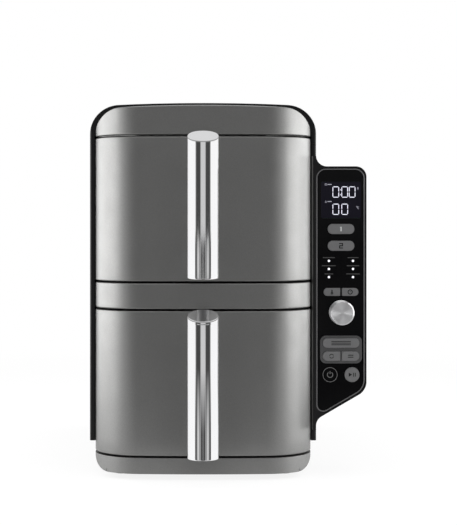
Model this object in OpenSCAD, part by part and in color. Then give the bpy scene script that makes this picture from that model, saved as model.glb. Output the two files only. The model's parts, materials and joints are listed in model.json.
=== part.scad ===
// Two-drawer stacked air fryer with a control wing on its right side.
// Millimetres, +Z up, front towards -Y. The origin is under the middle of the whole
// appliance, on the worktop: handles and wing count in that middle.

/* [Housing] */
// Width over the two side panels
shell_w = 236; // [220:1:260]
// Depth of the housing, from the crown of the fronts to the back
body_d = 415; // [390:5:460]
// Height of the feet under the base
foot_h = 6; // [4:0.5:12]
// Height of the base band
base_h = 16.2; // [15.6:0.2:24]
// Height of one drawer front
front_h = 147.1; // [140:0.1:170]
// Height of the band between the two drawers
mid_h = 26.1; // [20:0.1:40]
// Height of the top band
top_h = 30; // [29:0.5:45]
// Open seam between neighbouring fronts
seam = 2; // [1:0.1:3]
// How far the shell stands over the top band
shell_over = 5.3; // [3.5:0.1:7]
// Radius of the crown across the top
roof_r = 1800; // [1500:50:4000]
// Wall of the side panels, top cover and rear cover
panel_t = 2.5; // [1.5:0.1:3.5]
// Radius of the shell's upper edges, seen from the front
shell_r = 31; // [24:1:32]
// Radius of the shell's upright and top edges at the back
rear_r = 18; // [8:1:20]
// Rounding of the shell's front edge
lip_r = 2.4; // [1:0.2:3]
// Height at which the top cover meets the side panels, below the shell's top
cover_drop = 42; // [34:1:60]
// Gap between shell parts
part_gap = 0.3; // [0.1:0.1:0.5]

/* [Fronts] */
// How far the shell stands out beside the fronts
shell_side = 5.7; // [4:0.1:8]
// Depth of the fronts from their crown to their rear edge
front_d = 55.5; // [54:0.5:70]
// Radius of the crown across the fronts
crown_r = 1000; // [700:10:2000]
// Radius of the fronts' upright corners
corner_r = 50; // [30:1:51]
// Wall of the moulded fronts
front_t = 3; // [2:0.1:4]
// Radius of the top band's upper corners
top_r = 28.5; // [20:0.5:29]
// Radius of the base band's lower corners
base_r = 15.5; // [8:0.5:15.5]
// Setback of the shell's front edge from the crown
lip_setback = 45; // [42:0.5:48]
// Depth of the shell's thick front lip
lip_d = 4; // [2:0.5:6]
// Clearance between the fronts and the shell's lip
lip_gap = 0.5; // [0.3:0.1:1]

/* [Handles] */
// Width of a handle bar
bar_w = 31.4; // [26:0.2:40]
// Depth of a handle bar
bar_d = 21; // [19:0.5:24]
// Length of a handle bar
bar_l = 146.5; // [120:0.5:150]
// How far the bar's foot stands over the drawer front's lower edge
bar_rise = 3.75; // [2:0.25:8]
// How far a handle stands proud of the crown
bar_reach = 55; // [45:1:65]
// Drop of the slanted bar top from back to front
bar_slant = 10.6; // [4:0.2:14]
// Distance of a handle post from the end of its bar
post_inset = 30; // [20:1:45]
// Radius of a handle post
post_r = 6.5; // [5:0.5:8]

/* [Drawers] */
// Wall of the baskets
basket_t = 1.6; // [1:0.1:2.5]
// Draft of the basket's walls, top to bottom
basket_draft = 3; // [1:0.5:5]
// Radius of the basket's upright corners
basket_r = 24; // [14:1:30]
// Radius along the basket's floor
basket_floor_r = 9; // [4:0.5:12]
// Height of the basket's low rear wall
basket_back_h = 70; // [50:1:90]
// Width of the basket's rolled rim
basket_rim = 2.2; // [1:0.1:2.6]
// From the drawer front's lower edge to the basket's floor
basket_low = 11; // [10:0.5:14]
// From the basket's rim to the drawer front's upper edge
basket_top = 14; // [12:0.5:20]
// Thickness of the crisper plate
plate_t = 2; // [1.5:0.1:3]
// Height of the crisper plate's legs
plate_leg = 12; // [8:1:20]
// Radius of the holes in the crisper plate
plate_hole_r = 3.4; // [2:0.1:4]
// Spacing of the holes in the crisper plate
plate_pitch = 17; // [14:0.5:24]

/* [Cooking chambers] */
// Wall of the chamber liners
liner_t = 1.2; // [0.8:0.1:2]
// Space between liner and side panel
side_space = 11.3; // [8:0.1:16]
// Clearance of the basket in its liner, each side
liner_gap = 3; // [2.8:0.1:5]
// Height of the liner's pressed runners
runner_h = 2.2; // [1:0.1:3]
// Gap between a sliding piece and its runner
slide_gap = 0.3; // [0.2:0.1:0.5]
// Clearance above the basket's rim
roof_gap = 6; // [4:0.5:10]
// Depth of the fan chamber behind the guard
plenum_d = 46; // [42:1:60]
// Depth of the motor bay behind the liners
bay_d = 55; // [50:1:70]
// Radius of the heating ring
heater_r = 57; // [52:1:60]
// Radius of the heating tube
heater_tube = 3.3; // [2.5:0.1:4]
// Radius of a fan
fan_r = 46; // [36:1:48]
// Number of vanes on a fan
fan_vanes = 12; // [8:1:16]
// Height of the fan's vanes
vane_h = 12; // [8:1:16]
// Radius of a fan shaft
shaft_r = 3; // [2.5:0.1:4]
// Radial running clearance of shafts
run_gap = 0.05; // [0.03:0.01:0.08]
// Radius of a fan motor
motor_r = 28; // [22:1:32]
// Length of a fan motor
motor_l = 36; // [26:1:42]

/* [Control wing] */
// Width of the wing beyond the side panel
wing_w = 49.8; // [46:0.2:60]
// Setback of the wing's face from the crown
wing_setback = 20; // [14:0.5:24]
// Depth of the wing at its outer side
wing_d = 50; // [40:1:70]
// Depth over which the wing's back slopes in to the side panel
wing_slope_d = 42; // [25:1:60]
// Wall of the wing housing
wing_t = 2.4; // [1.6:0.1:3]
// Drop of the wing's top below the shell's top
wing_drop = 67; // [60:0.5:70]
// From the axis of the power key down to the wing's lower outer corner
wing_end = 16.1; // [13:0.1:21]
// How far the wing's hollow curves start inside the side panel
wing_in = 2; // [0:0.1:4]
// Angle of the wing's lower edge
wing_angle = 30.2; // [26:0.2:34]
// Thickness of the control panel
face_t = 2.5; // [2:0.1:3.5]
// Width of the trim line round the panel
rim_w = 1.8; // [1:0.1:2.4]
// Distance of the dial's axis from the outer edge of the wing
dial_in = 26.3; // [24:0.1:30]
// From the keys above the dial to the dial's axis
dial_gap = 16.6; // [15:0.1:20]
// Radius of the dial
dial_r = 12.4; // [9:0.1:13]
// How far the dial stands out
dial_h = 16; // [10:0.5:20]
// How far the keys stand out
key_proud = 1.2; // [1:0.1:2]
// Travel of the keys
key_travel = 0.9; // [0.5:0.1:0.9]
// Clearance round the keys
key_gap = 0.25; // [0.15:0.05:0.4]

/* [Hidden] */
$fn = 64;
fine = 720;     // facets of the very flat arcs
eps = 0.01;     // overlap of cuts past a face
far = 600;      // longer than anything in the model
roof_over = 0.05;  // by which other outlines pass over the roof's crown
roof_pitch = 4;     // angle of the straight edges that the roof's crown cuts off
hair = 0.01;     // by which a corner's circle crosses a crowned edge
lap = 20;        // angle over which it overlaps the crown

// Colours
grey_paint = [0.37, 0.37, 0.37];
shell_black = [0.09, 0.09, 0.10];
panel_black = [0.05, 0.05, 0.055];
chrome = [0.85, 0.86, 0.88];
steel = [0.66, 0.67, 0.69];
coated = [0.17, 0.17, 0.18];
key_grey = [0.44, 0.44, 0.45];
plate_grey = [0.27, 0.27, 0.29];
rubber = [0.12, 0.12, 0.12];
board_green = [0.10, 0.35, 0.20];
lamp_white = [0.92, 0.92, 1.0];

// Heights of the stacked fronts
z_base = foot_h;
z_lower = z_base + base_h + seam;
z_mid = z_lower + front_h + seam;
drawer_pitch = front_h + mid_h + 2 * seam;
z_top = z_lower + drawer_pitch + front_h + seam;
z_cap = z_top + top_h;
shell_top = z_cap + shell_over;
z_cover = shell_top - cover_drop;
tray_t = 2.5;       // wall of the base tray and of its ledge
tray_top = z_lower + basket_low - slide_gap - runner_h - liner_t + tray_t;

// Depths, from the front to the back
y_front = -body_d / 2;
y_back = body_d / 2;
y_rim = y_front + front_d;
y_lip = y_front + lip_setback;
frame_gap = 2;      // between the drawers' rear edge and the frame
frame_t = 4;        // thickness of the front frame
y_frame = y_rim + frame_gap;
y_liner = y_frame + frame_t;
y_wall = y_back - panel_t - bay_d;
backing_t = 3;      // thickness of the backing plate of a drawer
backing_in = 0.5;   // how far the backing lies inside the front's rear edge
y_basket = y_rim - backing_in;
guard_t = 1;        // thickness of the fan guards
y_guard = y_wall - liner_t - plenum_d;
basket_clear = 4;   // between basket and guard
basket_d = y_guard - basket_clear - y_basket;

// Widths
shell_x = shell_w / 2;
front_x = shell_x - shell_side;
lip_x = front_x + lip_gap;
liner_x = shell_x - panel_t - side_space;
liner_in_x = liner_x - liner_t;
basket_x = liner_in_x - liner_gap;
tray_side = 2.3;    // sides of the base tray, from the sides of the fronts
tray_x = front_x - tray_side;
rear_land = 8;      // flat land beside the rear cover
rear_x = shell_x - rear_r - rear_land;

// Heights within one drawer, from the lower drawer
basket_z0 = z_lower + basket_low;
basket_z1 = z_lower + front_h - basket_top;
liner_z0 = basket_z0 - slide_gap - runner_h;
liner_z1 = basket_z1 + roof_gap;
liner_corner = 8;
fan_z = (liner_z0 + liner_z1) / 2;
plate_z = basket_z0 + basket_t + slide_gap + plate_leg;
levels = [0, drawer_pitch];

// The overall box, whose bottom centre is the origin
x_left = -shell_x;
x_right = shell_x + wing_w;
y_handle = y_front - bar_reach;
centre_x = (x_left + x_right) / 2;
centre_y = (y_handle + y_back) / 2;
module place() { translate([-centre_x, -centre_y, 0]) children(); }

// ---- Outlines -----------------------------------------------------------

function unit(v) = v / norm(v);
function xy(p) = [p[0], p[1]];
function before(p, i) = xy(p[(i + len(p) - 1) % len(p)]);
function after(p, i) = xy(p[(i + 1) % len(p)]);
function turn(p, i) = cross(xy(p[i]) - before(p, i), after(p, i) - xy(p[i]));
function half_angle(p, i) = acos(unit(before(p, i) - xy(p[i])) * unit(after(p, i) - xy(p[i]))) / 2;
function tangent_to(p, i, q) = xy(p[i]) + unit(q - xy(p[i])) * p[i][2] / tan(half_angle(p, i));
function round_centre(p, i) = xy(p[i]) + unit(unit(before(p, i) - xy(p[i]))
    + unit(after(p, i) - xy(p[i]))) * p[i][2] / sin(half_angle(p, i));

// Moves every edge of an anticlockwise outline outwards by d, with its radii
function outward(a, b) = let(e = unit(b - a)) [e[1], -e[0]];
function grow(p, d) = [for (i = [0:len(p) - 1])
    let(n1 = outward(before(p, i), xy(p[i])), n2 = outward(xy(p[i]), after(p, i)),
        v = xy(p[i]) + (n1 + n2) * d / (1 + n1 * n2),
        r = p[i][2] == 0 ? 0 : max(0.2, p[i][2] + (turn(p, i) > 0 ? d : -d)))
    [v[0], v[1], r]];

// An anticlockwise outline of [x, y, radius] corners, with true arcs
module outline(p) {
    n = len(p) - 1;
    polygon([for (i = [0:n]) each p[i][2] > 0 && turn(p, i) > 0
        ? [tangent_to(p, i, before(p, i)), tangent_to(p, i, after(p, i))] : [xy(p[i])]]);
    for (i = [0:n]) if (p[i][2] > 0) {
        c = round_centre(p, i);
        a = tangent_to(p, i, before(p, i));
        b = tangent_to(p, i, after(p, i));
        if (turn(p, i) > 0) sector(c, p[i][2], a, b);
        else difference() {
            polygon([a, b, xy(p[i]) + unit(xy(p[i]) - c)]);
            translate(c) circle(p[i][2]);
        }
    }
}
function box_outline(x0, y0, x1, y1, r) = [[x0, y0, r], [x1, y0, r], [x1, y1, r], [x0, y1, r]];

// The upper corners of an outline w to each side and h high, with its apex, for crowned() to cut:
// the straight edges cross the crown at the inner end of each corner, and end over the middle
function roof(w, h, r) = let(
    side = h - roof_r + sqrt(pow(roof_r, 2) - pow(w - r, 2)) - r * tan(roof_pitch))
    [[w, side, r], [0, side + w * tan(roof_pitch), 0], [-w, side, r]];
module roofed(h) {
    intersection() {
        children();
        translate([0, h - roof_r]) circle(roof_r, $fn = fine);
    }
}

// A sector of the circle (c, r) between the directions of points a and b on it
module sector(c, r, a, b) {
    translate(c) intersection() {
        circle(r);
        polygon(2 * [[0, 0], a - c, a + b - 2 * c, b - c]);
    }
}

// An outline with a crowned front at y0, round corners and a flat back at y1.
// The corners' circles cross the crown and the sides by a hair instead of only touching them.
module crowned(w, r, crown, y0, y1) {
    cy = y0 + crown - sqrt(pow(crown - r, 2) - pow(w - r, 2));
    a = asin((w - r) / (crown - r));
    function spoke(s, a, d) = [s * (w - r + d * sin(a)), cy - d * cos(a)];
    translate([-w, cy]) square([2 * w, y1 - cy]);
    intersection() {
        translate([0, y0 + crown]) circle(crown, $fn = fine);
        polygon([spoke(-1, a, 0), spoke(1, a, 0), spoke(1, a, 2 * r), spoke(-1, a, 2 * r)]);
    }
    for (s = [-1, 1]) intersection() {
        translate([s * (w - r), cy]) circle(r + hair);
        polygon([spoke(s, a, 0), spoke(s, a - lap, 2 * r), [s * w, cy - 2 * r], [s * w, cy]]);
    }
}

// Outlines stood along each axis
module along_x(x0, x1) { translate([x0, 0, 0]) rotate([90, 0, 90]) linear_extrude(x1 - x0) children(); }
module along_y(y0, y1) { translate([0, y1, 0]) rotate([90, 0, 0]) linear_extrude(y1 - y0) children(); }
module along_z(z0, z1) { translate([0, 0, z0]) linear_extrude(z1 - z0) children(); }
module rod_y(x, z, y0, y1, r) { translate([x, y1, z]) rotate([90, 0, 0]) cylinder(h = y1 - y0, r = r); }
module slab(x0, x1, y0, y1, z0, z1) { translate([x0, y0, z0]) cube([x1 - x0, y1 - y0, z1 - z0]); }

// ---- Grey fronts and bands ----------------------------------------------

module front_plan(inset, y1) {
    crowned(front_x - inset, corner_r - inset, crown_r - inset, y_front + inset, y1);
}
function band_outline(inset) = [
    [-front_x + inset, z_base + inset, base_r - inset], [front_x - inset, z_base + inset, base_r - inset],
    each roof(front_x - inset, z_cap - inset, top_r - inset)];

// A hollow band of the front between two heights, open at the back
module band(z0, z1) {
    difference() {
        intersection() {
            along_z(z0, z1) front_plan(0, y_frame);
            along_y(y_front - eps, y_frame) roofed(z_cap) outline(band_outline(0));
        }
        intersection() {
            along_z(z0 + front_t, z1 - front_t) front_plan(front_t, y_frame + eps);
            along_y(y_front - eps, y_frame + 2 * eps) roofed(z_cap - front_t) outline(band_outline(front_t));
        }
    }
}

module middle_fascia() { color(grey_paint) place() band(z_mid, z_mid + mid_h); }
module top_fascia() { color(grey_paint) place() band(z_top, z_cap + roof_over); }

// ---- Base ---------------------------------------------------------------

foot_side = 28.7;       // feet, from the sides of the fronts
foot_x = front_x - foot_side;
foot_inset = 50.5;      // feet, from the crown and from the back
foot_r = 10;
foot_plug_r = 4;
foot_plug_h = 8;
foot_boss_h = 12;
tongue_over = 1.9;      // reach of the tray's tongue into the front's round corners
tongue_x = front_x - base_r + tongue_over;
tongue_inset = 18;      // front edge of the tongue, from the crown
rib_x = 60;             // ribs under the lower liner
rib_t = 3;
slot_count = 7;         // air slots in the floor, on each side
slot_w = 4;
slot_l = 40;
slot_pitch = 10;
tray_y1 = y_back - panel_t - part_gap;
foot_y = body_d / 2 - foot_inset;
feet_places = [for (x = [-foot_x, foot_x], y = [-foot_y, foot_y]) [x, y]];

module base_fascia() {
    color(grey_paint) place() difference() {
        band(z_base, z_base + base_h);
        slab(-tongue_x - part_gap, tongue_x + part_gap, y_front + tongue_inset - part_gap, y_frame + eps,
            z_base - eps, z_base + front_t + eps);
    }
}

module tray_outline(inset, top) {
    outline([[-tray_x + inset, z_base + inset, base_r - inset], [tray_x - inset, z_base + inset, base_r - inset],
        [tray_x - inset, top, 0], [-tray_x + inset, top, 0]]);
}

module base_tray() {
    ledge_x = shell_x - panel_t - part_gap;
    color(shell_black) place() difference() {
        union() {
            difference() {
                union() {
                    along_y(y_liner, tray_y1) tray_outline(0, tray_top);
                    slab(-ledge_x, ledge_x, y_liner, tray_y1, tray_top - tray_t, tray_top);
                }
                along_y(y_liner + tray_t, tray_y1 - tray_t) tray_outline(tray_t, tray_top + eps);
                slab(-far, far, y_liner - eps, y_liner + tray_t + eps, liner_z0 - liner_t, tray_top + eps);
            }
            for (s = [-1, 1]) slab(s * rib_x - rib_t / 2, s * rib_x + rib_t / 2, y_liner + eps, tray_y1 - eps,
                z_base + tray_t - eps, liner_z0 - liner_t);
            slab(-tongue_x, tongue_x, y_front + tongue_inset, y_liner + eps, z_base, z_base + tray_t);
            for (p = feet_places) translate([p[0], p[1], z_base]) cylinder(h = foot_boss_h, r = foot_plug_r + tray_t);
        }
        for (p = feet_places) translate([p[0], p[1], z_base - eps])
            cylinder(h = foot_plug_h + part_gap, r = foot_plug_r + run_gap);
        for (s = [-1, 1], i = [0:slot_count - 1])
            translate([s * rib_x / 2 - slot_l / 2, (i - (slot_count - 1) / 2) * slot_pitch, z_base - eps])
                cube([slot_l, slot_w, tray_t + 2 * eps]);
    }
}

module feet() {
    edge = 1.5;
    color(rubber) place() for (p = feet_places) translate([p[0], p[1], 0]) {
        cylinder(h = edge, r1 = foot_r - edge, r2 = foot_r);
        translate([0, 0, edge]) cylinder(h = foot_h - edge, r = foot_r);
        translate([0, 0, foot_h - eps]) cylinder(h = foot_plug_h, r = foot_plug_r);
    }
}

// ---- Frame and shell ----------------------------------------------------

module front_frame() {
    frame_x = shell_x - panel_t - part_gap;
    frame_top = shell_top - panel_t - part_gap;
    bevel = shell_r - panel_t - part_gap;
    color(shell_black) place() difference() {
        union() {
            along_y(y_frame, y_liner) roofed(frame_top) outline([[-frame_x, tray_top + part_gap, 0],
                [frame_x, tray_top + part_gap, 0], each roof(frame_x, frame_top, bevel)]);
            along_y(y_frame, y_liner) tray_outline(0, tray_top + front_t);
        }
        slab(-tongue_x - part_gap, tongue_x + part_gap, y_frame - eps, y_liner + eps, 0, z_base + tray_t);
        for (z = levels) along_y(y_frame - eps, y_liner + eps)
            outline(box_outline(-liner_in_x, z + liner_z0, liner_in_x, z + liner_z1, liner_corner));
    }
}

// The shell as one block, shrunk by side, top and rear amounts
module shell_block(side, top, rear, y0) {
    w = shell_x - side;
    h = shell_top - top;
    y1 = y_back - rear;
    intersection() {
        along_y(y0, y1) roofed(h) outline([[-w, tray_top - eps, 0], [w, tray_top - eps, 0],
            each roof(w, h, shell_r - side)]);
        along_z(tray_top, h + roof_over) outline([[-w, y0, side == 0 ? lip_r : 0], [w, y0, side == 0 ? lip_r : 0],
            [w, y1, rear_r - rear], [-w, y1, rear_r - rear]]);
        along_x(-w, w) outline([[y0, tray_top - eps, 0], [y1, tray_top - eps, 0],
            [y1, h + roof_over, rear_r - rear], [y0, h + roof_over, side == 0 ? lip_r : 0]]);
    }
}

module shell() {
    difference() {
        shell_block(0, 0, 0, y_lip);
        shell_block(panel_t, panel_t, panel_t, y_lip + lip_d);
        along_y(y_lip - eps, y_lip + lip_d + eps) roofed(z_cap + lip_gap) outline([
            [-lip_x, tray_top - 2 * eps, 0], [lip_x, tray_top - 2 * eps, 0],
            each roof(lip_x, z_cap + lip_gap, top_r + lip_gap)]);
        slab(-rear_x, rear_x, y_back - panel_t - 2 * eps, y_back + eps, 0, cover_z1);
    }
}

screw_r = 1.5;          // shank of a cover screw
head_r = 3.2;           // head of a cover screw
head_h = 1.4;
screw_l = 10;
screw_x = rear_x + 4;
screw_heights = [tray_top + 26, (tray_top + z_cover) / 2, z_cover - 24];
cover_z1 = z_cover - part_gap;      // top of the rear cover's opening

module screw_holes() {
    for (s = [-1, 1], z = screw_heights) {
        rod_y(s * screw_x, z, y_back - panel_t - eps, y_back + eps, screw_r + run_gap);
        rod_y(s * screw_x, z, y_back - head_h, y_back + eps, head_r + run_gap);
    }
}
module side_panel(s) {
    difference() {
        intersection() {
            shell();
            slab(s > 0 ? 0 : -far, s > 0 ? far : 0, -far, far, tray_top, z_cover - part_gap);
        }
        screw_holes();
    }
}
module left_side_panel() { color(shell_black) place() side_panel(-1); }
module right_side_panel() { color(shell_black) place() side_panel(1); }
module top_cover() {
    color(shell_black) place() intersection() {
        shell();
        slab(-far, far, -far, far, z_cover, far);
    }
}

louvre_w = 52;          // air louvres in the rear cover, behind each motor
louvre_x = 29;          // middle of a column of louvres
louvre_h = 3.2;
louvre_pitch = 8;
louvre_rows = 9;
flange_in = 7;          // how far the cover's flange reaches under the side panels
flange_low = 1;         // flange, from the cover's lower edge
cover_r = 3;
flange_w = 12;
gland_in = 20;          // cable entry, from the side of the rear cover and above the tray
gland_x = gland_in - rear_x;
gland_z = tray_top + gland_in;
gland_r = 8;
gland_lip = 3;          // thickness and reach of the gland's lips
gland_nose = 1;         // mouth of the gland, inside the cover's face
gland_bore_r = 3.5;
pocket_r = 14;
pocket_d = 12;

module rear_cover() {
    x = rear_x - part_gap;
    y0 = y_back - panel_t;
    z0 = tray_top;
    z1 = cover_z1 - part_gap;
    color(shell_black) place() difference() {
        union() {
            along_y(y0, y_back) outline(box_outline(-x, z0, x, z1, cover_r));
            difference() {
                slab(-x - flange_in, x + flange_in, y0 - panel_t, y0 - run_gap, z0 + flange_low, z1);
                slab(-x + flange_w, x - flange_w, y0 - panel_t - eps, y0, z0 + flange_w, z1 - flange_w);
            }
            rod_y(gland_x, gland_z, y_back - pocket_d - panel_t, y0 + eps, pocket_r + panel_t);
        }
        rod_y(gland_x, gland_z, y_back - pocket_d, y_back + eps, pocket_r);
        rod_y(gland_x, gland_z, y_back - pocket_d - panel_t - eps, y_back, gland_r + run_gap);
        for (s = [-1, 1], z = screw_heights)
            rod_y(s * screw_x, z, y0 - panel_t - eps, y0 + eps, screw_r + run_gap);
        for (level = levels, s = [-1, 1], i = [0:louvre_rows - 1])
            translate([s * louvre_x - louvre_w / 2, y0 - panel_t - eps,
                level + fan_z + (i - (louvre_rows - 1) / 2) * louvre_pitch - louvre_h / 2])
                cube([louvre_w, 2 * panel_t + 2 * eps, louvre_h]);
    }
}

module cover_screws() {
    color(steel) place() for (s = [-1, 1], z = screw_heights) {
        rod_y(s * screw_x, z, y_back - screw_l, y_back - head_h + eps, screw_r);
        rod_y(s * screw_x, z, y_back - head_h, y_back - part_gap, head_r);
    }
}

module cord_gland() {
    y0 = y_back - pocket_d - panel_t;
    color(rubber) place() difference() {
        union() {
            rod_y(gland_x, gland_z, y0 - gland_lip, y_back - gland_nose, gland_r);
            rod_y(gland_x, gland_z, y_back - pocket_d, y_back - pocket_d + gland_lip, gland_r + gland_lip);
            rod_y(gland_x, gland_z, y0 - gland_lip, y0, gland_r + gland_lip);
        }
        rod_y(gland_x, gland_z, y0 - gland_lip - eps, y_back, gland_bore_r);
    }
}

// ---- Cooking chambers ---------------------------------------------------

liner_flange = 6;
runner_x = 62;          // pressed runners under the basket
runner_w = 12;
collar_r = 8;           // hole in the liner's wall for the shaft
terminal_x = 18;        // where the heater's ends leave through the wall
terminal_z = -sqrt(pow(heater_r, 2) - pow(terminal_x, 2));
probe_x = 80;
probe_z = 44;
probe_r = 2.5;

module liner(level) {
    difference() {
        translate([0, 0, level]) difference() {
            union() {
                along_y(y_liner, y_wall) outline(box_outline(-liner_x, liner_z0 - liner_t,
                    liner_x, liner_z1 + liner_t, liner_corner + liner_t));
                along_y(y_liner, y_liner + liner_t) outline(box_outline(-liner_x - liner_flange,
                    liner_z0 - liner_t, liner_x + liner_flange, liner_z1 + liner_flange, 2));
            }
            difference() {
                along_y(y_liner - eps, y_wall - liner_t)
                    outline(box_outline(-liner_in_x, liner_z0, liner_in_x, liner_z1, liner_corner));
                for (s = [-1, 1]) slab(s * runner_x - runner_w / 2, s * runner_x + runner_w / 2,
                    y_liner, y_guard - basket_clear, liner_z0 - eps, liner_z0 + runner_h);
            }
            rod_y(0, fan_z, y_wall - 2 * liner_t, y_wall + eps, collar_r);
            for (s = [-1, 1]) rod_y(s * terminal_x, fan_z + terminal_z, y_wall - 2 * liner_t, y_wall + eps,
                heater_tube + run_gap);
            rod_y(probe_x, fan_z + probe_z, y_wall - 2 * liner_t, y_wall + eps, probe_r + run_gap);
        }
    }
}
module upper_liner() { color(steel) place() liner(drawer_pitch); }
module lower_liner() { color(steel) place() liner(0); }

shelf_t = 1.2;
shelf_leg_x = 80;
shelf_foot = 14;
shelf_y0 = y_liner + 16;        // front and rear edge
shelf_y1 = y_wall - 20;
shelf_hole_in = [35, 30];       // first and last hole, from these edges
shelf_hole_pitch = 38;
shelf_hole_r = 12;
module divider_shelf() {
    z0 = liner_z1 + liner_t;
    z1 = drawer_pitch + liner_z0 - liner_t;
    color(steel) place() {
        slab(-shelf_leg_x, shelf_leg_x, shelf_y0, shelf_y1, z1 - shelf_t, z1);
        for (s = [-1, 1]) {
            difference() {
                slab(s > 0 ? shelf_leg_x - shelf_t : -shelf_leg_x, s > 0 ? shelf_leg_x : shelf_t - shelf_leg_x,
                    shelf_y0, shelf_y1, z0, z1 - shelf_t + eps);
                for (y = [shelf_y0 + shelf_hole_in[0]:shelf_hole_pitch:shelf_y1 - shelf_hole_in[1]]) translate([-far, y, (z0 + z1) / 2])
                    rotate([0, 90, 0]) cylinder(h = 2 * far, r = shelf_hole_r);
            }
            slab(s > 0 ? shelf_leg_x - shelf_t : -shelf_leg_x - shelf_foot, s > 0 ? shelf_leg_x + shelf_foot
                : shelf_t - shelf_leg_x, shelf_y0, shelf_y1, z0, z0 + shelf_t);
        }
    }
}

// Ring heater round the fan, its two ends turned back through the liner's wall
heater_set = 26;        // ring, from the guard
heater_end = 14;        // ends of the tube, behind the wall
heater_nut = 3;         // thickness and width of the ends' nuts
heater_y = y_guard + heater_set;
heater_half = asin(terminal_x / heater_r);
ferrule = 0.6;          // brazed elbow, over the tube
module heater(level) {
    translate([0, heater_y, level + fan_z]) rotate([90, heater_half, 0]) rotate([0, 0, -90 + 2 * heater_half])
        rotate_extrude(angle = 360 - 2 * heater_half) translate([heater_r, 0]) circle(heater_tube);
    for (s = [-1, 1]) {
        rod_y(s * terminal_x, level + fan_z + terminal_z, heater_y, y_wall + heater_end,
            heater_tube);
        translate([s * terminal_x, heater_y, level + fan_z + terminal_z]) sphere(heater_tube + ferrule);
        rod_y(s * terminal_x, level + fan_z + terminal_z, y_wall, y_wall + heater_nut,
            heater_tube + heater_nut);
    }
}
module upper_heater() { color(steel) place() heater(drawer_pitch); }
module lower_heater() { color(steel) place() heater(0); }

// Guard between basket and fan: rings of slots between spokes
guard_gap = 0.3;
guard_rings = [14, 24, 34, 44, 54];
ring_slot = 5;
spokes = 8;
spoke_w = 4;
tab_d = 14;             // side tabs of the guard
tab_in = 20;            // tabs, from the chamber's floor and roof
module fan_guard(level) {
    x = liner_in_x - guard_gap;
    translate([0, 0, level]) {
        difference() {
            along_y(y_guard, y_guard + guard_t) outline(box_outline(-x, liner_z0 + guard_gap, x,
                liner_z1 - guard_gap, liner_corner - guard_gap));
            difference() {
                for (r = guard_rings) difference() {
                    rod_y(0, fan_z, y_guard - eps, y_guard + guard_t + eps, r);
                    rod_y(0, fan_z, y_guard - 2 * eps, y_guard + guard_t + 2 * eps, r - ring_slot);
                }
                for (i = [0:spokes / 2 - 1]) translate([0, 0, fan_z]) rotate([0, i * 360 / spokes, 0])
                    slab(-liner_x, liner_x, y_guard - eps, y_guard + guard_t + eps, -spoke_w / 2, spoke_w / 2);
            }
        }
        for (s = [-1, 1]) slab(s > 0 ? x - guard_t : -x, s > 0 ? x : guard_t - x,
            y_guard + guard_t - eps, y_guard + tab_d, liner_z0 + tab_in, liner_z1 - tab_in);
    }
}
module upper_fan_guard() { color(steel) place() fan_guard(drawer_pitch); }
module lower_fan_guard() { color(steel) place() fan_guard(0); }

// Fan: a disc with bent-up radial vanes on a hub and shaft
fan_set = 20;           // front edge of the vanes, from the guard
fan_y = y_guard + fan_set;
disc_t = 1.2;
vane_t = 1;
vane_in = 18;           // inner and outer ends of the vanes
vane_out = fan_r - 4;
vane_twist = 22;        // slant of the vanes against the radius
hub_set = 3;            // front of the hub, behind the vanes' front edge
hub_r = 8;
shaft_in = 28;          // reach of the shaft behind the wall
shaft_end = 1;          // free end of its bore
shaft_y1 = y_wall + shaft_in;
module fan(level) {
    translate([0, 0, level + fan_z]) {
        rod_y(0, 0, fan_y + vane_h, fan_y + vane_h + disc_t, fan_r);
        rod_y(0, 0, fan_y + hub_set, fan_y + vane_h + eps, hub_r);
        rod_y(0, 0, fan_y, shaft_y1, shaft_r);
        for (i = [0:fan_vanes - 1]) rotate([0, i * 360 / fan_vanes, 0])
            translate([vane_in, fan_y, 0]) rotate([0, vane_twist, 0])
                slab(0, vane_out - vane_in, 0, vane_h + eps, -vane_t / 2, vane_t / 2);
    }
}
module upper_fan() { color(steel) place() fan(drawer_pitch); }
module lower_fan() { color(steel) place() fan(0); }

motor_flange_t = 2;
motor_flange_w = 8;     // how far the flange stands past the can
motor_nose_r = 9;
motor_nose_l = 4;
motor_screw_r = 3;
module motor(level) {
    difference() {
        translate([0, 0, level]) {
            rod_y(0, fan_z, y_wall, y_wall + motor_flange_t, motor_r + motor_flange_w);
            rod_y(0, fan_z, y_wall + motor_flange_t - eps, y_wall + motor_l, motor_r);
            rod_y(0, fan_z, y_wall + motor_l - eps, y_wall + motor_l + motor_nose_l, motor_nose_r);
            for (a = [45:90:315]) rod_y((motor_r + motor_flange_w / 2) * cos(a),
                fan_z + (motor_r + motor_flange_w / 2) * sin(a),
                y_wall, y_wall + 2 * motor_flange_t, motor_screw_r);
        }
        rod_y(0, level + fan_z, y_wall - eps, shaft_y1 + shaft_end, shaft_r + run_gap);
    }
}
module upper_motor() { color(steel) place() motor(drawer_pitch); }
module lower_motor() { color(steel) place() motor(0); }

probe_l = 30;
nut_r = 5;
nut_t = 3;
module temperature_probes() {
    color(steel) place() for (level = levels) {
        rod_y(probe_x, level + fan_z + probe_z, y_wall - probe_l, y_wall + nut_t, probe_r);
        rod_y(probe_x, level + fan_z + probe_z, y_wall, y_wall + nut_t, nut_r);
    }
}

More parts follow.
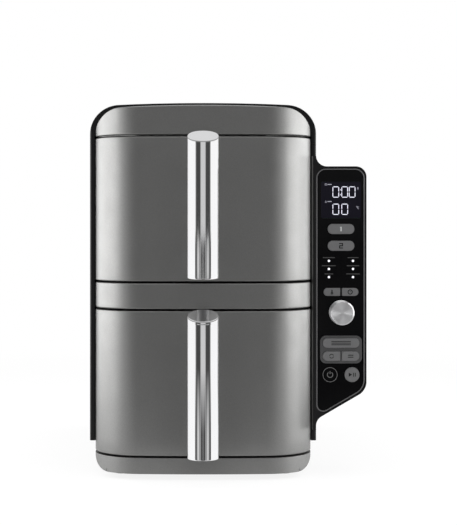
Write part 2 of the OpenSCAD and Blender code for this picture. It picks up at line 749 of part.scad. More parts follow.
// Mains board on four pillars that stand on the inside of the rear cover
mains_w = 90;
mains_h = 46;
mains_t = 1.6;
mains_stand = 8;
mains_post_in = 5;      // pillars, from the board's edges
mains_post_r = 3;
mains_blocks = [[-38, -10, 20, 14], [-2, 16, 14, 8]];     // from x to x, height, half length
mains_cans = [[30, -9], [30, 9]];       // capacitors
mains_can_r = 7;
mains_can_l = 18;
mains_x = -10;
mains_z = (liner_z1 + drawer_pitch + liner_z0) / 2;
mains_y = y_back - panel_t - mains_stand - mains_t;
module power_board() {
    color(board_green) place() {
        slab(mains_x - mains_w / 2, mains_x + mains_w / 2, mains_y, mains_y + mains_t,
            mains_z - mains_h / 2, mains_z + mains_h / 2);
        for (s = [-1, 1], t = [-1, 1]) rod_y(mains_x + s * (mains_w / 2 - mains_post_in),
            mains_z + t * (mains_h / 2 - mains_post_in), mains_y + mains_t - eps, y_back - panel_t, mains_post_r);
        for (b = mains_blocks) slab(mains_x + b[0], mains_x + b[1], mains_y - b[2], mains_y + eps,
            mains_z - b[3], mains_z + b[3]);
        for (c = mains_cans) rod_y(mains_x + c[0], mains_z + c[1], mains_y - mains_can_l, mains_y + eps, mains_can_r);
    }
}

// ---- Control wing -------------------------------------------------------

y_face = y_front + wing_setback;        // plane of the control panel
wing_top = shell_top - wing_drop;
// Heights on the wing, one below the other
window_drop = 15.8;     // window, from the wing's top
window_h = 37.5;
window_z1 = wing_top - window_drop;
window_z0 = window_z1 - window_h;
window_gap = 5.7;       // from the window down to the first key
level_key_h = 10.6;
level_key_gap = 6.6;
level_key_z = [for (i = [0, 1])     // lower edges
    window_z0 - window_gap - level_key_h - i * (level_key_h + level_key_gap)];
lamp_pitch = 8.35;
lamp_gap = 10.2;        // from the second key down to the first lamps
lamp_z = [for (i = [0:2]) level_key_z[1] - lamp_gap - i * lamp_pitch];
adjust_h = 8.4;
adjust_gap = 11;        // from the last lamps down to the split key
adjust_z1 = lamp_z[2] - adjust_gap;
adjust_z0 = adjust_z1 - adjust_h;
dial_z = adjust_z0 - dial_gap;
group_gap = 24;         // from the dial's axis down to the group of keys
group_z1 = dial_z - group_gap;
group_edge = 2.5;       // plate round the group of keys
group_key_h = 10.1;
group_key_gap = 3.3;
stack_z1 = group_z1 - group_edge;
stack_z0 = stack_z1 - group_key_h;
sync_z1 = stack_z0 - group_key_gap;
sync_z0 = sync_z1 - group_key_h;
group_z0 = sync_z0 - group_edge;
power_gap = 11.5;       // from the group down to the axis of the power key
power_z = group_z0 - power_gap;
wing_low = power_z - wing_end;
wing_x = shell_x + wing_w;              // outer side of the wing
mid_x = wing_x - dial_in;               // middle line of the controls
wing_r = 11;            // upper outer corner
wing_low_r = 16;        // lower outer corner
wing_cove = 11;         // hollow curves where the wing runs into the side panel
wing_edge_r = 0.6;      // upright front edge
wing_back_r = 14;       // upright back edge
rim_side = 1.9;         // the same at the outer side
rim_in = 1.1;           // from the side panel to the middle of the trim line, inwards
rim_r = 9.5;
rim_low_r = 7;
rim_proud = 0.5;

wing_x0 = shell_x - wing_in;            // where the hollow curves start
wing_foot = wing_low - (wing_x - wing_x0) * tan(wing_angle);    // where the lower edge meets them
wing_outline = [
    [lip_x, wing_foot - wing_cove, 0], [wing_x0, wing_foot - wing_cove, 0], [wing_x0, wing_foot, wing_cove],
    [wing_x, wing_low, wing_low_r], [wing_x, wing_top, wing_r],
    [wing_x0, wing_top, wing_cove], [wing_x0, wing_top + wing_cove, 0], [lip_x, wing_top + wing_cove, 0]];
rim_x0 = shell_x - rim_in;
rim_x1 = wing_x - rim_side;
rim_z1 = wing_top - 2.6;
rim_low = wing_low + 2.4 / cos(wing_angle) - rim_side * tan(wing_angle);
rim_outline = [
    [rim_x0, rim_low - (rim_x1 - rim_x0) * tan(wing_angle), rim_low_r],
    [rim_x1, rim_low, wing_low_r], [rim_x1, rim_z1, rim_r], [rim_x0, rim_z1, rim_r]];
// Seen from above
function wing_plan(y0) = [
    [lip_x, y0, 0], [wing_x, y0, wing_edge_r], [wing_x, y_face + wing_d, wing_back_r],
    [shell_x, y_face + wing_d + wing_slope_d, 0], [shell_x, y_lip - part_gap, 0], [lip_x, y_lip - part_gap, 0]];

// The control board and what stands on it
board_set = 13.5;       // board, behind the panel's face
board_y = y_face + board_set;
board_t = 1.6;
board_in = 3;           // board, from the side panel
board_out = 5;          // board, from the wing's outer side
board_x0 = shell_x + board_in;
board_x1 = wing_x - board_out;
board_end = 8;          // board, from the wing's lower and upper end
board_z0 = wing_low + board_end;
board_z1 = wing_top - board_end;
face_post_r = 2.4;
panel_land = 1.5;       // land behind the edge of the panel
face_post_x = [17.6, 13];       // posts beside the controls and above the window
face_post_gap = 7;      // lowest posts, above the group of keys
face_post_top = 2.6;    // highest posts, above the window
face_posts = concat([for (s = [-1, 1], z = [group_z1 + face_post_gap, (adjust_z1 + lamp_z[2]) / 2,
    (level_key_z[0] + level_key_z[1] + level_key_h) / 2]) [mid_x + s * face_post_x[0], z]], [for (s = [-1, 1]) [mid_x + s * face_post_x[1], window_z1 + face_post_top]]);

// What lies on the panel, measured from the wing's outer edge and the dial
window_reach = 20.5;
window = box_outline(mid_x - window_reach, window_z0, mid_x + window_reach, window_z1, 2);
level_key_reach = 13.7;
level_key_r = 5;
level_keys = [for (z = level_key_z) box_outline(mid_x - level_key_reach, z, mid_x + level_key_reach, z + level_key_h,
    level_key_r)];
lamp_r = 1.15;
lamp_reach = 12.35;
lamps = [for (s = [-1, 1], z = lamp_z) [mid_x + s * lamp_reach, z]];

// One half of a pill that is split down the middle line: s is -1 left, 1 right
split = 0.65;
nib_r = 0.8;
function half_pill(s, reach, z0, z1) = let(r = (z1 - z0) / 2 - 0.05) s > 0
    ? [[mid_x + split, z0, nib_r], [mid_x + reach, z0, r], [mid_x + reach, z1, r], [mid_x + split, z1, nib_r]]
    : [[mid_x - reach, z0, r], [mid_x - split, z0, nib_r], [mid_x - split, z1, nib_r], [mid_x - reach, z1, r]];
adjust_reach = 18;
group_reach = 18.9;
group_r = 6;
stack_r = 4.6;
group_plate = box_outline(mid_x - group_reach - group_edge, group_z0, mid_x + group_reach + group_edge, group_z1, group_r);
plate_proud = 0.6;
stack_outline = box_outline(mid_x - group_reach, stack_z0, mid_x + group_reach, stack_z1, stack_r);
round_key_reach = 11.3;
power_place = [mid_x - round_key_reach, power_z];
start_place = [mid_x + round_key_reach, power_z];
round_key_r = 7.8;

pill_keys = concat(level_keys, [for (s = [-1, 1]) half_pill(s, adjust_reach, adjust_z0, adjust_z1)]);
group_keys = concat([stack_outline], [for (s = [-1, 1]) half_pill(s, group_reach, sync_z0, sync_z1)]);
bush_r = 4;             // threaded neck of the encoder

module wing_housing() {
    inner = grow(wing_outline, -wing_t);
    color(shell_black) place() difference() {
        intersection() {
            along_y(y_face, y_face + wing_d + wing_slope_d) outline(wing_outline);
            along_z(0, shell_top) outline(wing_plan(y_face));
        }
        intersection() {
            along_y(y_face + face_t, y_face + wing_d + wing_slope_d) outline(grow(rim_outline, -panel_land));
            along_z(0, shell_top) outline(grow(wing_plan(y_face), -wing_t));
        }
        along_y(y_face - eps, y_face + face_t) outline(grow(rim_outline, rim_w / 2 + run_gap));
    }
}

module key_openings(keys, y0, y1) { for (k = keys) along_y(y0, y1) outline(k); }
module control_panel() {
    y1 = y_face + face_t;
    color(panel_black) place() {
        difference() {
            along_y(y_face, y1) outline(grow(rim_outline, -rim_w / 2));
            along_y(y_face - eps, y1 + eps) outline(window);
            key_openings(concat(pill_keys, group_keys), y_face - eps, y1 + eps);
            for (p = [power_place, start_place]) rod_y(p[0], p[1], y_face - eps, y1 + eps, round_key_r);
            for (p = lamps) rod_y(p[0], p[1], y_face - eps, y1 + eps, lamp_r + run_gap);
            rod_y(mid_x, dial_z, y_face - eps, y1 + eps, bush_r + run_gap);
        }
        for (p = face_posts) rod_y(p[0], p[1], y1 - eps, board_y, face_post_r);
    }
}
module panel_rim() {
    color(plate_grey) place() difference() {
        along_y(y_face - rim_proud, y_face + face_t) outline(grow(rim_outline, rim_w / 2));
        along_y(y_face - rim_proud - eps, y_face + face_t + eps) outline(grow(rim_outline, -rim_w / 2 + run_gap));
    }
}
module display_window() {
    color(panel_black) place() along_y(y_face, y_face + face_t) outline(grow(window, -run_gap));
}
display_in = 2.5;       // module, inside the window's edge
module display_module() {
    color(shell_black) place() {
        slab(mid_x - window_reach + display_in, mid_x + window_reach - display_in, y_face + face_t + part_gap, board_y,
            window_z0 + display_in, window_z1 - display_in);
    }
}
module mode_lights() { color(lamp_white) place() for (p = lamps) rod_y(p[0], p[1], y_face, board_y, lamp_r); }
module key_group_plate() {
    color(plate_grey) place() difference() {
        along_y(y_face - plate_proud, y_face) outline(group_plate);
        key_openings(group_keys, y_face - plate_proud - eps, y_face + eps);
    }
}

switch_h = 3;
switch_w = 6;
stem_r = 2;
socket_x = 14;          // cable socket on the back of the board
socket_h = 6;
socket_reach = 20;
stem_rest = 0.15;       // stem to switch, with the key pressed
stem_gap = key_travel + stem_rest;
key_places = [for (k = concat(pill_keys, group_keys)) (xy(k[0]) + xy(k[2])) / 2];
module control_board() {
    color(board_green) place() {
        slab(board_x0, board_x1, board_y, board_y + board_t, board_z0, board_z1);
        for (p = concat(key_places, [power_place, start_place]))
            slab(p[0] - switch_w / 2, p[0] + switch_w / 2, board_y - switch_h, board_y + eps,
                p[1] - switch_w / 2, p[1] + switch_w / 2);
        slab(mid_x - socket_x, mid_x + socket_x, board_y + board_t - eps, board_y + board_t + socket_h,
            dial_z - socket_reach, dial_z + socket_reach);
    }
}

encoder_w = 12;
encoder_d = 7;
encoder_floor = 2;
module encoder() {
    color(steel) place() difference() {
        union() {
            slab(mid_x - encoder_w / 2, mid_x + encoder_w / 2, board_y - encoder_d, board_y,
                dial_z - encoder_w / 2, dial_z + encoder_w / 2);
            rod_y(mid_x, dial_z, y_face, board_y - encoder_d + eps, bush_r);
        }
        rod_y(mid_x, dial_z, y_face - eps, board_y - encoder_floor, shaft_r + run_gap);
    }
}

skirt_gap = 0.4;
skirt_t = 2;
dial_chamfer = 1.4;
dial_boss_r = 5.5;
dial_boss_gap = 1.5;    // boss, from the panel
dial_face_t = 3;
hollow_step = 0.5;      // hollow round the boss, deeper than the face
bore_step = 1;          // bore, deeper than the face
shaft_tip = 0.2;        // shaft, from the end of its bore
shaft_rest = 0.5;       // shaft, from the encoder's floor
module dial_knob() {
    y0 = y_face - dial_h;
    color(steel) place() difference() {
        union() {
            rod_y(mid_x, dial_z, y0 + dial_chamfer, y_face - skirt_gap, dial_r);
            translate([mid_x, y0 + dial_chamfer, dial_z]) rotate([90, 0, 0])
                cylinder(h = dial_chamfer, r1 = dial_r, r2 = dial_r - dial_chamfer);
        }
        difference() {
            rod_y(mid_x, dial_z, y0 + dial_face_t + hollow_step, y_face, dial_r - skirt_t);
            rod_y(mid_x, dial_z, y0 + dial_face_t, y_face - dial_boss_gap, dial_boss_r);
        }
        rod_y(mid_x, dial_z, y0 + dial_face_t + bore_step, y_face, shaft_r + run_gap);
    }
}
module dial_shaft() {
    color(steel) place() rod_y(mid_x, dial_z, y_face - dial_h + dial_face_t + bore_step + shaft_tip,
        board_y - encoder_floor - shaft_rest, shaft_r);
}

// A key: a cap through the panel, a flange behind it and a stem to its switch
flange_gap = 0.15;
key_flange_t = 1;
pill_flange_w = 0.4;
round_flange_w = 0.8;
module key_stem(p, y0) { rod_y(p[0], p[1], y0, board_y - switch_h - stem_gap, stem_r); }
module pill_key(k, lift) {
    y0 = y_face + face_t + flange_gap;
    place() {
        along_y(y_face - key_proud - lift, y0 + key_flange_t) outline(grow(k, -key_gap));
        along_y(y0, y0 + key_flange_t) outline(grow(k, pill_flange_w));
        key_stem((xy(k[0]) + xy(k[2])) / 2, y0);
    }
}
module round_key(p) {
    y0 = y_face + face_t + flange_gap;
    place() {
        rod_y(p[0], p[1], y_face - key_proud, y0 + key_flange_t, round_key_r - key_gap);
        rod_y(p[0], p[1], y0, y0 + key_flange_t, round_key_r + round_flange_w);
        key_stem(p, y0);
    }
}
module key_1() { color(key_grey) pill_key(pill_keys[0], 0); }
module key_2() { color(key_grey) pill_key(pill_keys[1], 0); }
module key_temp() { color(key_grey) pill_key(pill_keys[2], 0); }
module key_time() { color(key_grey) pill_key(pill_keys[3], 0); }
module key_stack() { color(key_grey) pill_key(group_keys[0], plate_proud); }
module key_sync() { color(key_grey) pill_key(group_keys[1], plate_proud); }
module key_match() { color(key_grey) pill_key(group_keys[2], plate_proud); }
module key_power() { color(panel_black) round_key(power_place); }
module key_start() { color(key_grey) round_key(start_place); }

// ---- Drawers ------------------------------------------------------------

post_heights = [bar_rise + post_inset, bar_rise + bar_l - post_inset - bar_slant];
post_screw_r = 2;
post_screw_l = 20;
post_head_r = 4.2;
post_head_h = 2.6;
boss_h = 5;
boss_w = 3;             // wall of the boss round a screw head

module drawer_front(level) {
    difference() {
        translate([0, 0, level]) {
            difference() {
                along_z(z_lower, z_lower + front_h) front_plan(0, y_rim);
                along_z(z_lower + front_t, z_lower + front_h - front_t) front_plan(front_t, y_rim + eps);
            }
            for (h = post_heights) rod_y(0, z_lower + h, y_front + front_t - eps,
                y_front + front_t + boss_h, post_head_r + boss_w);
        }
        for (h = post_heights) {
            rod_y(0, level + z_lower + h, y_front - eps, y_rim, post_screw_r + run_gap);
            rod_y(0, level + z_lower + h, y_front + front_t + boss_h - post_head_h, y_rim, post_head_r + run_gap);
        }
    }
}
module upper_drawer_front() { color(grey_paint) place() drawer_front(drawer_pitch); }
module lower_drawer_front() { color(grey_paint) place() drawer_front(0); }

backing_rib_t = 2;
backing_rib_d = 14;
backing_rib_pitch = 40;
backing_rib_in = 6;
module drawer_backing(level) {
    x = front_x - front_t - part_gap;
    z0 = level + z_lower + front_t + part_gap;
    z1 = level + z_lower + front_h - front_t - part_gap;
    slab(-x, x, y_basket - backing_t, y_basket, z0, z1);
    for (i = [-2:2]) translate([i * backing_rib_pitch, 0, 0]) slab(-backing_rib_t / 2, backing_rib_t / 2,
        y_basket - backing_t - backing_rib_d, y_basket - backing_t + eps,
        z0 + backing_rib_in, z1 - backing_rib_in);
}
module upper_drawer_backing() { color(shell_black) place() drawer_backing(drawer_pitch); }
module lower_drawer_backing() { color(shell_black) place() drawer_backing(0); }

bar_corner = 7.5;       // radius of the bar's two narrow sides
bar_half = bar_d / 2;
bar_crown = (pow(bar_w / 2, 2) + pow(bar_half, 2) - bar_w * bar_corner) / (2 * (bar_half - bar_corner));
post_in = 3;            // how far a post starts inside the bar
// An oval of four arcs that run into each other
module bar_section() {
    translate([0, y_handle + bar_half]) for (s = [0, 1]) mirror([0, s])
        crowned(bar_w / 2, bar_corner, bar_crown, -bar_half, eps);
}
module handle(level) {
    z0 = level + z_lower + bar_rise;
    difference() {
        union() {
            intersection() {
                along_z(z0, z0 + bar_l) bar_section();
                along_x(-bar_w, bar_w) polygon([[y_handle, z0], [y_handle + bar_d, z0],
                    [y_handle + bar_d, z0 + bar_l], [y_handle, z0 + bar_l - bar_slant]]);
            }
            for (h = post_heights) rod_y(0, level + z_lower + h, y_handle + bar_d - post_in, y_front, post_r);
        }
        for (h = post_heights) rod_y(0, level + z_lower + h, y_front - post_screw_l + front_t, y_front + eps,
            post_screw_r + run_gap);
    }
}
module upper_handle() { color(chrome) place() handle(drawer_pitch); }
module lower_handle() { color(chrome) place() handle(0); }

module handle_screws(level) {
    y1 = y_front + front_t + boss_h;
    for (h = post_heights) {
        rod_y(0, level + z_lower + h, y1 - post_head_h, y1, post_head_r);
        rod_y(0, level + z_lower + h, y_front - post_screw_l + 2 * front_t, y1 - post_head_h + eps, post_screw_r);
    }
}
module upper_handle_screws() { color(steel) place() handle_screws(drawer_pitch); }
module lower_handle_screws() { color(steel) place() handle_screws(0); }

front_draft = 1;        // draft of the basket's front wall
// The basket's outside, shrunk by its wall: round in plan, drafted, with a rounded floor
module basket_block(inset, top) {
    x = basket_x - basket_rim - inset;
    y0 = y_basket + inset;
    y1 = y_basket + basket_d - basket_rim - inset;
    z0 = basket_z0 + inset;
    r = basket_floor_r - inset;
    intersection() {
        along_z(z0, top) outline(box_outline(-x, y0, x, y1, basket_r - inset));
        along_y(y0, y1) outline([[-x + basket_draft, z0, r], [x - basket_draft, z0, r], [x, top, 0], [-x, top, 0]]);
        along_x(-x, x) outline([[y0 + front_draft, z0, r], [y1 - basket_draft, z0, r], [y1, top, 0], [y0, top, 0]]);
    }
}
rim_t = 2;
back_step = 4;          // rear cut-out: below the rim and beside the corner
back_slope = 8;         // run of its slanted sides
back_r = [6, 12];       // its upper and lower corners
module basket(level) {
    x = basket_x;
    y1 = y_basket + basket_d;
    back_y = y1 - basket_rim - basket_draft - basket_t;
    top = basket_z1 + 2 * eps;
    step_z = basket_z1 - rim_t - back_step;
    step_x = x - basket_r - back_step;
    back_cut = [[x + eps, step_z, 0], [step_x, step_z, back_r[0]],
        [step_x - back_slope, basket_z0 + basket_back_h, back_r[1]]];
    translate([0, 0, level]) difference() {
        union() {
            basket_block(0, basket_z1);
            along_z(basket_z1 - rim_t, basket_z1)
                outline(box_outline(-x, y_basket, x, y1, basket_r));
        }
        basket_block(basket_t, basket_z1 + basket_t);
        along_y(back_y - basket_r, y1 + eps) outline(concat([[-x - eps, top, 0]],
            [for (p = back_cut) [-p[0], p[1], p[2]]], [for (i = [len(back_cut) - 1:-1:0]) back_cut[i]],
            [[x + eps, top, 0]]));
    }
}
module upper_basket() { color(coated) place() basket(drawer_pitch); }
module lower_basket() { color(coated) place() basket(0); }

plate_gap = 2.2;        // from the crisper plate to the basket's wall
plate_leg_r = 4;
bumper_t = 1.9;
bumper_w = 16;
bumper_grip = 4;        // how far a bumper grips the plate
plate_half = basket_x - basket_rim - basket_t - basket_draft - plate_gap;
plate_y0 = y_basket + basket_t + front_draft + plate_gap;
plate_y1 = y_basket + basket_d - basket_rim - basket_t - basket_draft - plate_gap;
plate_mid = (plate_y0 + plate_y1) / 2;
plate_half_d = (plate_y1 - plate_y0) / 2;
plate_r = basket_r - basket_t;
finger_r = 12;          // finger hole in the middle of the plate
hole_margin = 18;       // outermost holes, from the plate's edge
leg_margin = 24;        // legs, from the plate's edge
finger_land = 4;        // land between the finger hole and its neighbours
leg_land = 1;
module crisper_plate(level) {
    nx = floor((plate_half - hole_margin) / plate_pitch);
    ny = floor((plate_half_d - hole_margin) / plate_pitch);
    leg_x = plate_half - leg_margin;
    leg_y = plate_half_d - leg_margin;
    translate([0, plate_mid, level + plate_z]) {
        difference() {
            union() {
                linear_extrude(plate_t)
                    outline(box_outline(-plate_half, -plate_half_d, plate_half, plate_half_d, plate_r));
                for (i = [-1, 1], j = [-1, 1]) translate([i * leg_x, j * leg_y, -plate_leg])
                    cylinder(h = plate_leg + eps, r = plate_leg_r);
            }
            for (i = [-nx:nx], j = [-ny:ny])
                if (norm([i, j]) * plate_pitch > finger_r + plate_hole_r + finger_land
                    && norm([abs(i * plate_pitch) - leg_x, abs(j * plate_pitch) - leg_y])
                        > plate_leg_r + plate_hole_r + leg_land)
                    translate([i * plate_pitch, j * plate_pitch, -eps]) cylinder(h = plate_t + 2 * eps, r = plate_hole_r);
            translate([0, 0, -eps]) cylinder(h = plate_t + 2 * eps, r = finger_r);
        }
    }
}
module upper_crisper_plate() { color(coated) place() crisper_plate(drawer_pitch); }
module lower_crisper_plate() { color(coated) place() crisper_plate(0); }

module crisper_bumpers(level) {
    for (s = [-1, 1], t = [-1, 1]) {
        y = plate_mid + t * (plate_half_d - plate_r - bumper_w);
        difference() {
            slab(s > 0 ? plate_half - bumper_grip : -plate_half - bumper_t,
                s > 0 ? plate_half + bumper_t : bumper_grip - plate_half,
                y - bumper_w / 2, y + bumper_w / 2, level + plate_z - bumper_t, level + plate_z + plate_t + bumper_t);
            slab(-plate_half, plate_half, y - bumper_w, y + bumper_w, level + plate_z, level + plate_z + plate_t);
        }
    }
}
module upper_crisper_bumpers() { color(rubber) place() crisper_bumpers(drawer_pitch); }
module lower_crisper_bumpers() { color(rubber) place() crisper_bumpers(0); }

base_fascia();
base_tray();
feet();
top_fascia();
middle_fascia();
front_frame();
left_side_panel();
right_side_panel();
top_cover();
rear_cover();
cover_screws();
upper_liner();
lower_liner();
divider_shelf();
upper_heater();
lower_heater();
upper_fan_guard();
lower_fan_guard();
upper_motor();
lower_motor();
temperature_probes();
power_board();
cord_gland();
wing_housing();
control_panel();
panel_rim();
display_window();
display_module();
mode_lights();
key_group_plate();
control_board();
encoder();
upper_drawer_front();
upper_drawer_backing();
upper_handle();
upper_handle_screws();
upper_basket();
upper_crisper_plate();
upper_crisper_bumpers();
lower_drawer_front();
lower_drawer_backing();
lower_handle();
lower_handle_screws();
lower_basket();
lower_crisper_plate();
lower_crisper_bumpers();
dial_knob();
dial_shaft();
key_1();
key_2();
key_temp();
key_time();
key_stack();
key_sync();
key_match();
key_power();
key_start();
upper_fan();
lower_fan();
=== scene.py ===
"""Looks of a stacked two-drawer air fryer with a control wing.

Everything is in metres, +Z up, the fronts towards -Y. The shapes here are surfaces worked out with numpy
around the loaded solids, and every solid gets its own finish.
"""
import json
import math

import bmesh
import bpy
import numpy as np
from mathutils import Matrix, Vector


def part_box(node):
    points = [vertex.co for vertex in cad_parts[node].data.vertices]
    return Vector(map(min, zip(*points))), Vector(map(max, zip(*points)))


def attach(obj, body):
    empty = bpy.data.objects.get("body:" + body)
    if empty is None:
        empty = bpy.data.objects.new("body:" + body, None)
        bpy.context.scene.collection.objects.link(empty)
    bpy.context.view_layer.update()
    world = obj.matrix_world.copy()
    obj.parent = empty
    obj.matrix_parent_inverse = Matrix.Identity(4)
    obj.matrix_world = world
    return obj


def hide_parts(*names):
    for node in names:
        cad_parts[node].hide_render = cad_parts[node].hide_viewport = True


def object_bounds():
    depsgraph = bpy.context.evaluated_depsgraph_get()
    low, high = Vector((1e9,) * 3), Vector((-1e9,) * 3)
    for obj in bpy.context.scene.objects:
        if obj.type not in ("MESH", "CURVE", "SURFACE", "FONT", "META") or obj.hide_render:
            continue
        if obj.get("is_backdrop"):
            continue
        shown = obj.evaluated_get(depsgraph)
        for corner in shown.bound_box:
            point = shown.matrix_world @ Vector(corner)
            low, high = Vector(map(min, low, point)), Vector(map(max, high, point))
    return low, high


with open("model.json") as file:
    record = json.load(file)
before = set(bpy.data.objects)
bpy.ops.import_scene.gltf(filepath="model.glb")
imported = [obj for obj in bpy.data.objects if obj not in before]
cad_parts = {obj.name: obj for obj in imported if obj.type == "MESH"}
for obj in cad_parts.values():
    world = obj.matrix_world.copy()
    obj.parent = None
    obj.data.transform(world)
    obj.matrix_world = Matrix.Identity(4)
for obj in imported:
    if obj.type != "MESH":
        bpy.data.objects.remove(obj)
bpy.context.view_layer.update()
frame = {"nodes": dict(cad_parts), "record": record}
nodes = frame["nodes"]
LEVELS = ("upper", "lower")

# The camera stands level, straight in front of the body's middle line
PICTURE = (457, 525)            # pixels of the picture, across and down
FOCAL_PIXELS = 1530.2
AXIS_PIXEL = (203.05, 220.6)    # where the camera's axis meets the picture
SENSOR = 36.0                   # mm
CAMERA_Z = 0.2631
CAMERA_DISTANCE = 1.550         # from the crown of the fronts
CLIP = (0.05, 60)

body_x = (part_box("left_side_panel")[0].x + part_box("right_side_panel")[1].x) / 2
crown_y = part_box("upper_drawer_front")[0].y
long_side = max(PICTURE)
camera = bpy.data.objects.new("camera", bpy.data.cameras.new("camera"))
camera.location = (body_x, crown_y - CAMERA_DISTANCE, CAMERA_Z)
camera.rotation_euler = (math.pi / 2, 0, 0)
camera.data.sensor_width = SENSOR
camera.data.lens = SENSOR * FOCAL_PIXELS / long_side
camera.data.shift_x = (PICTURE[0] / 2 - AXIS_PIXEL[0]) / long_side
camera.data.shift_y = (AXIS_PIXEL[1] - PICTURE[1] / 2) / long_side
camera.data.clip_start, camera.data.clip_end = CLIP
bpy.context.scene.collection.objects.link(camera)
bpy.context.scene.camera = camera


# ---- Finishes --------------------------------------------------------------------------------------------

# What the numbers of a finish say: base has the plain roughness, noise its scale and detail, tone a colour
# and the share by which it darkens and lightens, rough the two values it wanders between, and relief a
# height, a depth in metres and a strength for each layer.

class Nodes:
    """A node tree, written one call at a time."""

    def __init__(self, tree):
        self.tree = tree

    def node(self, kind, inputs=None, **settings):
        """A node with its settings, its inputs set to values or linked to other nodes' outputs."""
        made = self.tree.nodes.new(kind)
        for key, value in settings.items():
            setattr(made, key, value)
        for key, value in (inputs or {}).items():
            if isinstance(value, bpy.types.NodeSocket):
                self.tree.links.new(value, made.inputs[key])
            else:
                made.inputs[key].default_value = value
        return made

    def math(self, operation, *values):
        """One step of arithmetic on sockets and numbers."""
        return self.node("ShaderNodeMath", dict(enumerate(values)), operation=operation).outputs[0]

    def blend(self, fac, low, high):
        """The colour low where fac is 0, and high where it is 1."""
        return self.node("ShaderNodeMix", {"Factor": fac, 6: low, 7: high}, data_type="RGBA").outputs[2]

    def spread(self, value, low, high, start=0.3, end=0.7):
        """Carries a value between start and end over to low to high, and holds it there outside them."""
        inputs = {"Value": value, "From Min": start, "From Max": end, "To Min": low, "To Max": high}
        return self.node("ShaderNodeMapRange", inputs).outputs["Result"]


class Recipe(Nodes):
    """A finish: the nodes round one Principled shader."""

    def __init__(self, name):
        self.material = bpy.data.materials.new(name)
        self.material.use_nodes = True
        super().__init__(self.material.node_tree)
        self.shader = self.tree.nodes["Principled BSDF"]
        self.place = self.node("ShaderNodeTexCoord").outputs["Object"]

    def base(self, rough, **sockets):
        """Numbers that are the same all over, on the shader itself."""
        self.shader.inputs["Roughness"].default_value = rough
        for key, value in sockets.items():
            self.shader.inputs[key.replace("_", " ").title().replace("Ior", "IOR")].default_value = value
        return self

    def noise(self, scale, detail=3.0, stretch=(1, 1, 1)):
        """Noise with features about 1/scale metres across, stretched along an axis where asked."""
        where = self.place
        if stretch != (1, 1, 1):
            where = self.node("ShaderNodeMapping", {"Vector": where, "Scale": stretch}).outputs["Vector"]
        inputs = {"Vector": where, "Scale": scale, "Detail": detail}
        return self.node("ShaderNodeTexNoise", inputs).outputs["Fac"]

    def tone(self, colour, amount, fac):
        """The colour, a little darker and lighter where fac says."""
        mixed = self.blend(fac, (*[c * (1 - amount) for c in colour], 1),
                           (*[min(1, c * (1 + amount)) for c in colour], 1))
        self.tree.links.new(mixed, self.shader.inputs["Base Color"])
        return self

    def rough(self, fac, low, high):
        """Roughness that wanders between two values."""
        self.tree.links.new(self.spread(fac, low, high), self.shader.inputs["Roughness"])
        return self

    def relief(self, *layers, edge=0.0):
        """Bump from (height, depth in metres, strength) layers, over edges softened by a small radius."""
        normal = self.node("ShaderNodeBevel", {"Radius": edge}, samples=4).outputs["Normal"] if edge else None
        for height, depth, strength in layers:
            inputs = {"Height": height, "Distance": depth, "Strength": strength}
            if normal is not None:
                inputs["Normal"] = normal
            normal = self.node("ShaderNodeBump", inputs).outputs["Normal"]
        if normal is not None:
            self.tree.links.new(normal, self.shader.inputs["Normal"])
        return self


def grey(level):
    """The linear value of an sRGB grey, 0 to 255."""
    c = level / 255
    return c / 12.92 if c <= 0.04045 else ((c + 0.055) / 1.055) ** 2.4


def shade(*levels):
    """A linear colour from its three sRGB levels."""
    return tuple(grey(v) for v in levels)


def painted_front():
    """Satin grey paint with fine metal flakes, which glitter a little, in a film with a faint orange peel."""
    r = Recipe("front_paint").base(0.42, metallic=0.85, coat_weight=0.1, coat_roughness=0.2)
    flakes = r.node("ShaderNodeTexVoronoi", {"Vector": r.place, "Scale": 3200.0}).outputs["Color"]
    bright = r.node("ShaderNodeSeparateColor", {"Color": flakes}).outputs["Red"]
    r.tone(shade(125, 125, 124), 0.10, bright)
    r.rough(r.noise(60, 4), 0.40, 0.46)
    return r.relief((r.noise(900, 2), 0.00002, 0.25), (bright, 0.00001, 0.2), edge=0.0006).material


def moulded_black(name, level, rough, grain):
    """Moulded black plastic with a fine spark-eroded grain."""
    r = Recipe(name).base(rough, specular_ior_level=0.20)
    r.tone(shade(level, level, level + 1), 0.18, r.noise(35, 4))
    r.rough(r.noise(140, 4), rough - 0.05, rough + 0.06)
    pits = r.node("ShaderNodeTexVoronoi", {"Vector": r.place, "Scale": grain}).outputs["Distance"]
    return r.relief((pits, 0.00006, 0.35), (r.noise(grain * 0.6, 4), 0.00004, 0.25), edge=0.0008).material


def gloss_black(name, colour):
    """Polished black moulding with faint ripples and a dust of fine wear in its gloss."""
    rough = 0.09
    r = Recipe(name).base(rough, specular_ior_level=0.07)
    r.tone(colour, 0.12, r.noise(25, 3))
    r.rough(r.noise(220, 5), rough * 0.7, rough * 1.6)
    return r.relief((r.noise(70, 2), 0.00004, 0.12), edge=0.0003).material


def chrome():
    """Bright plating: nearly mirror smooth, with a slow ripple left by polishing and faint wipe marks."""
    r = Recipe("handle_chrome").base(0.05, metallic=1.0)
    r.tone((0.93, 0.93, 0.94), 0.03, r.noise(18, 3))
    r.rough(r.noise(260, 5, (1, 1, 0.15)), 0.03, 0.075)
    return r.relief((r.noise(26, 2, (1, 1, 0.25)), 0.00008, 0.10)).material


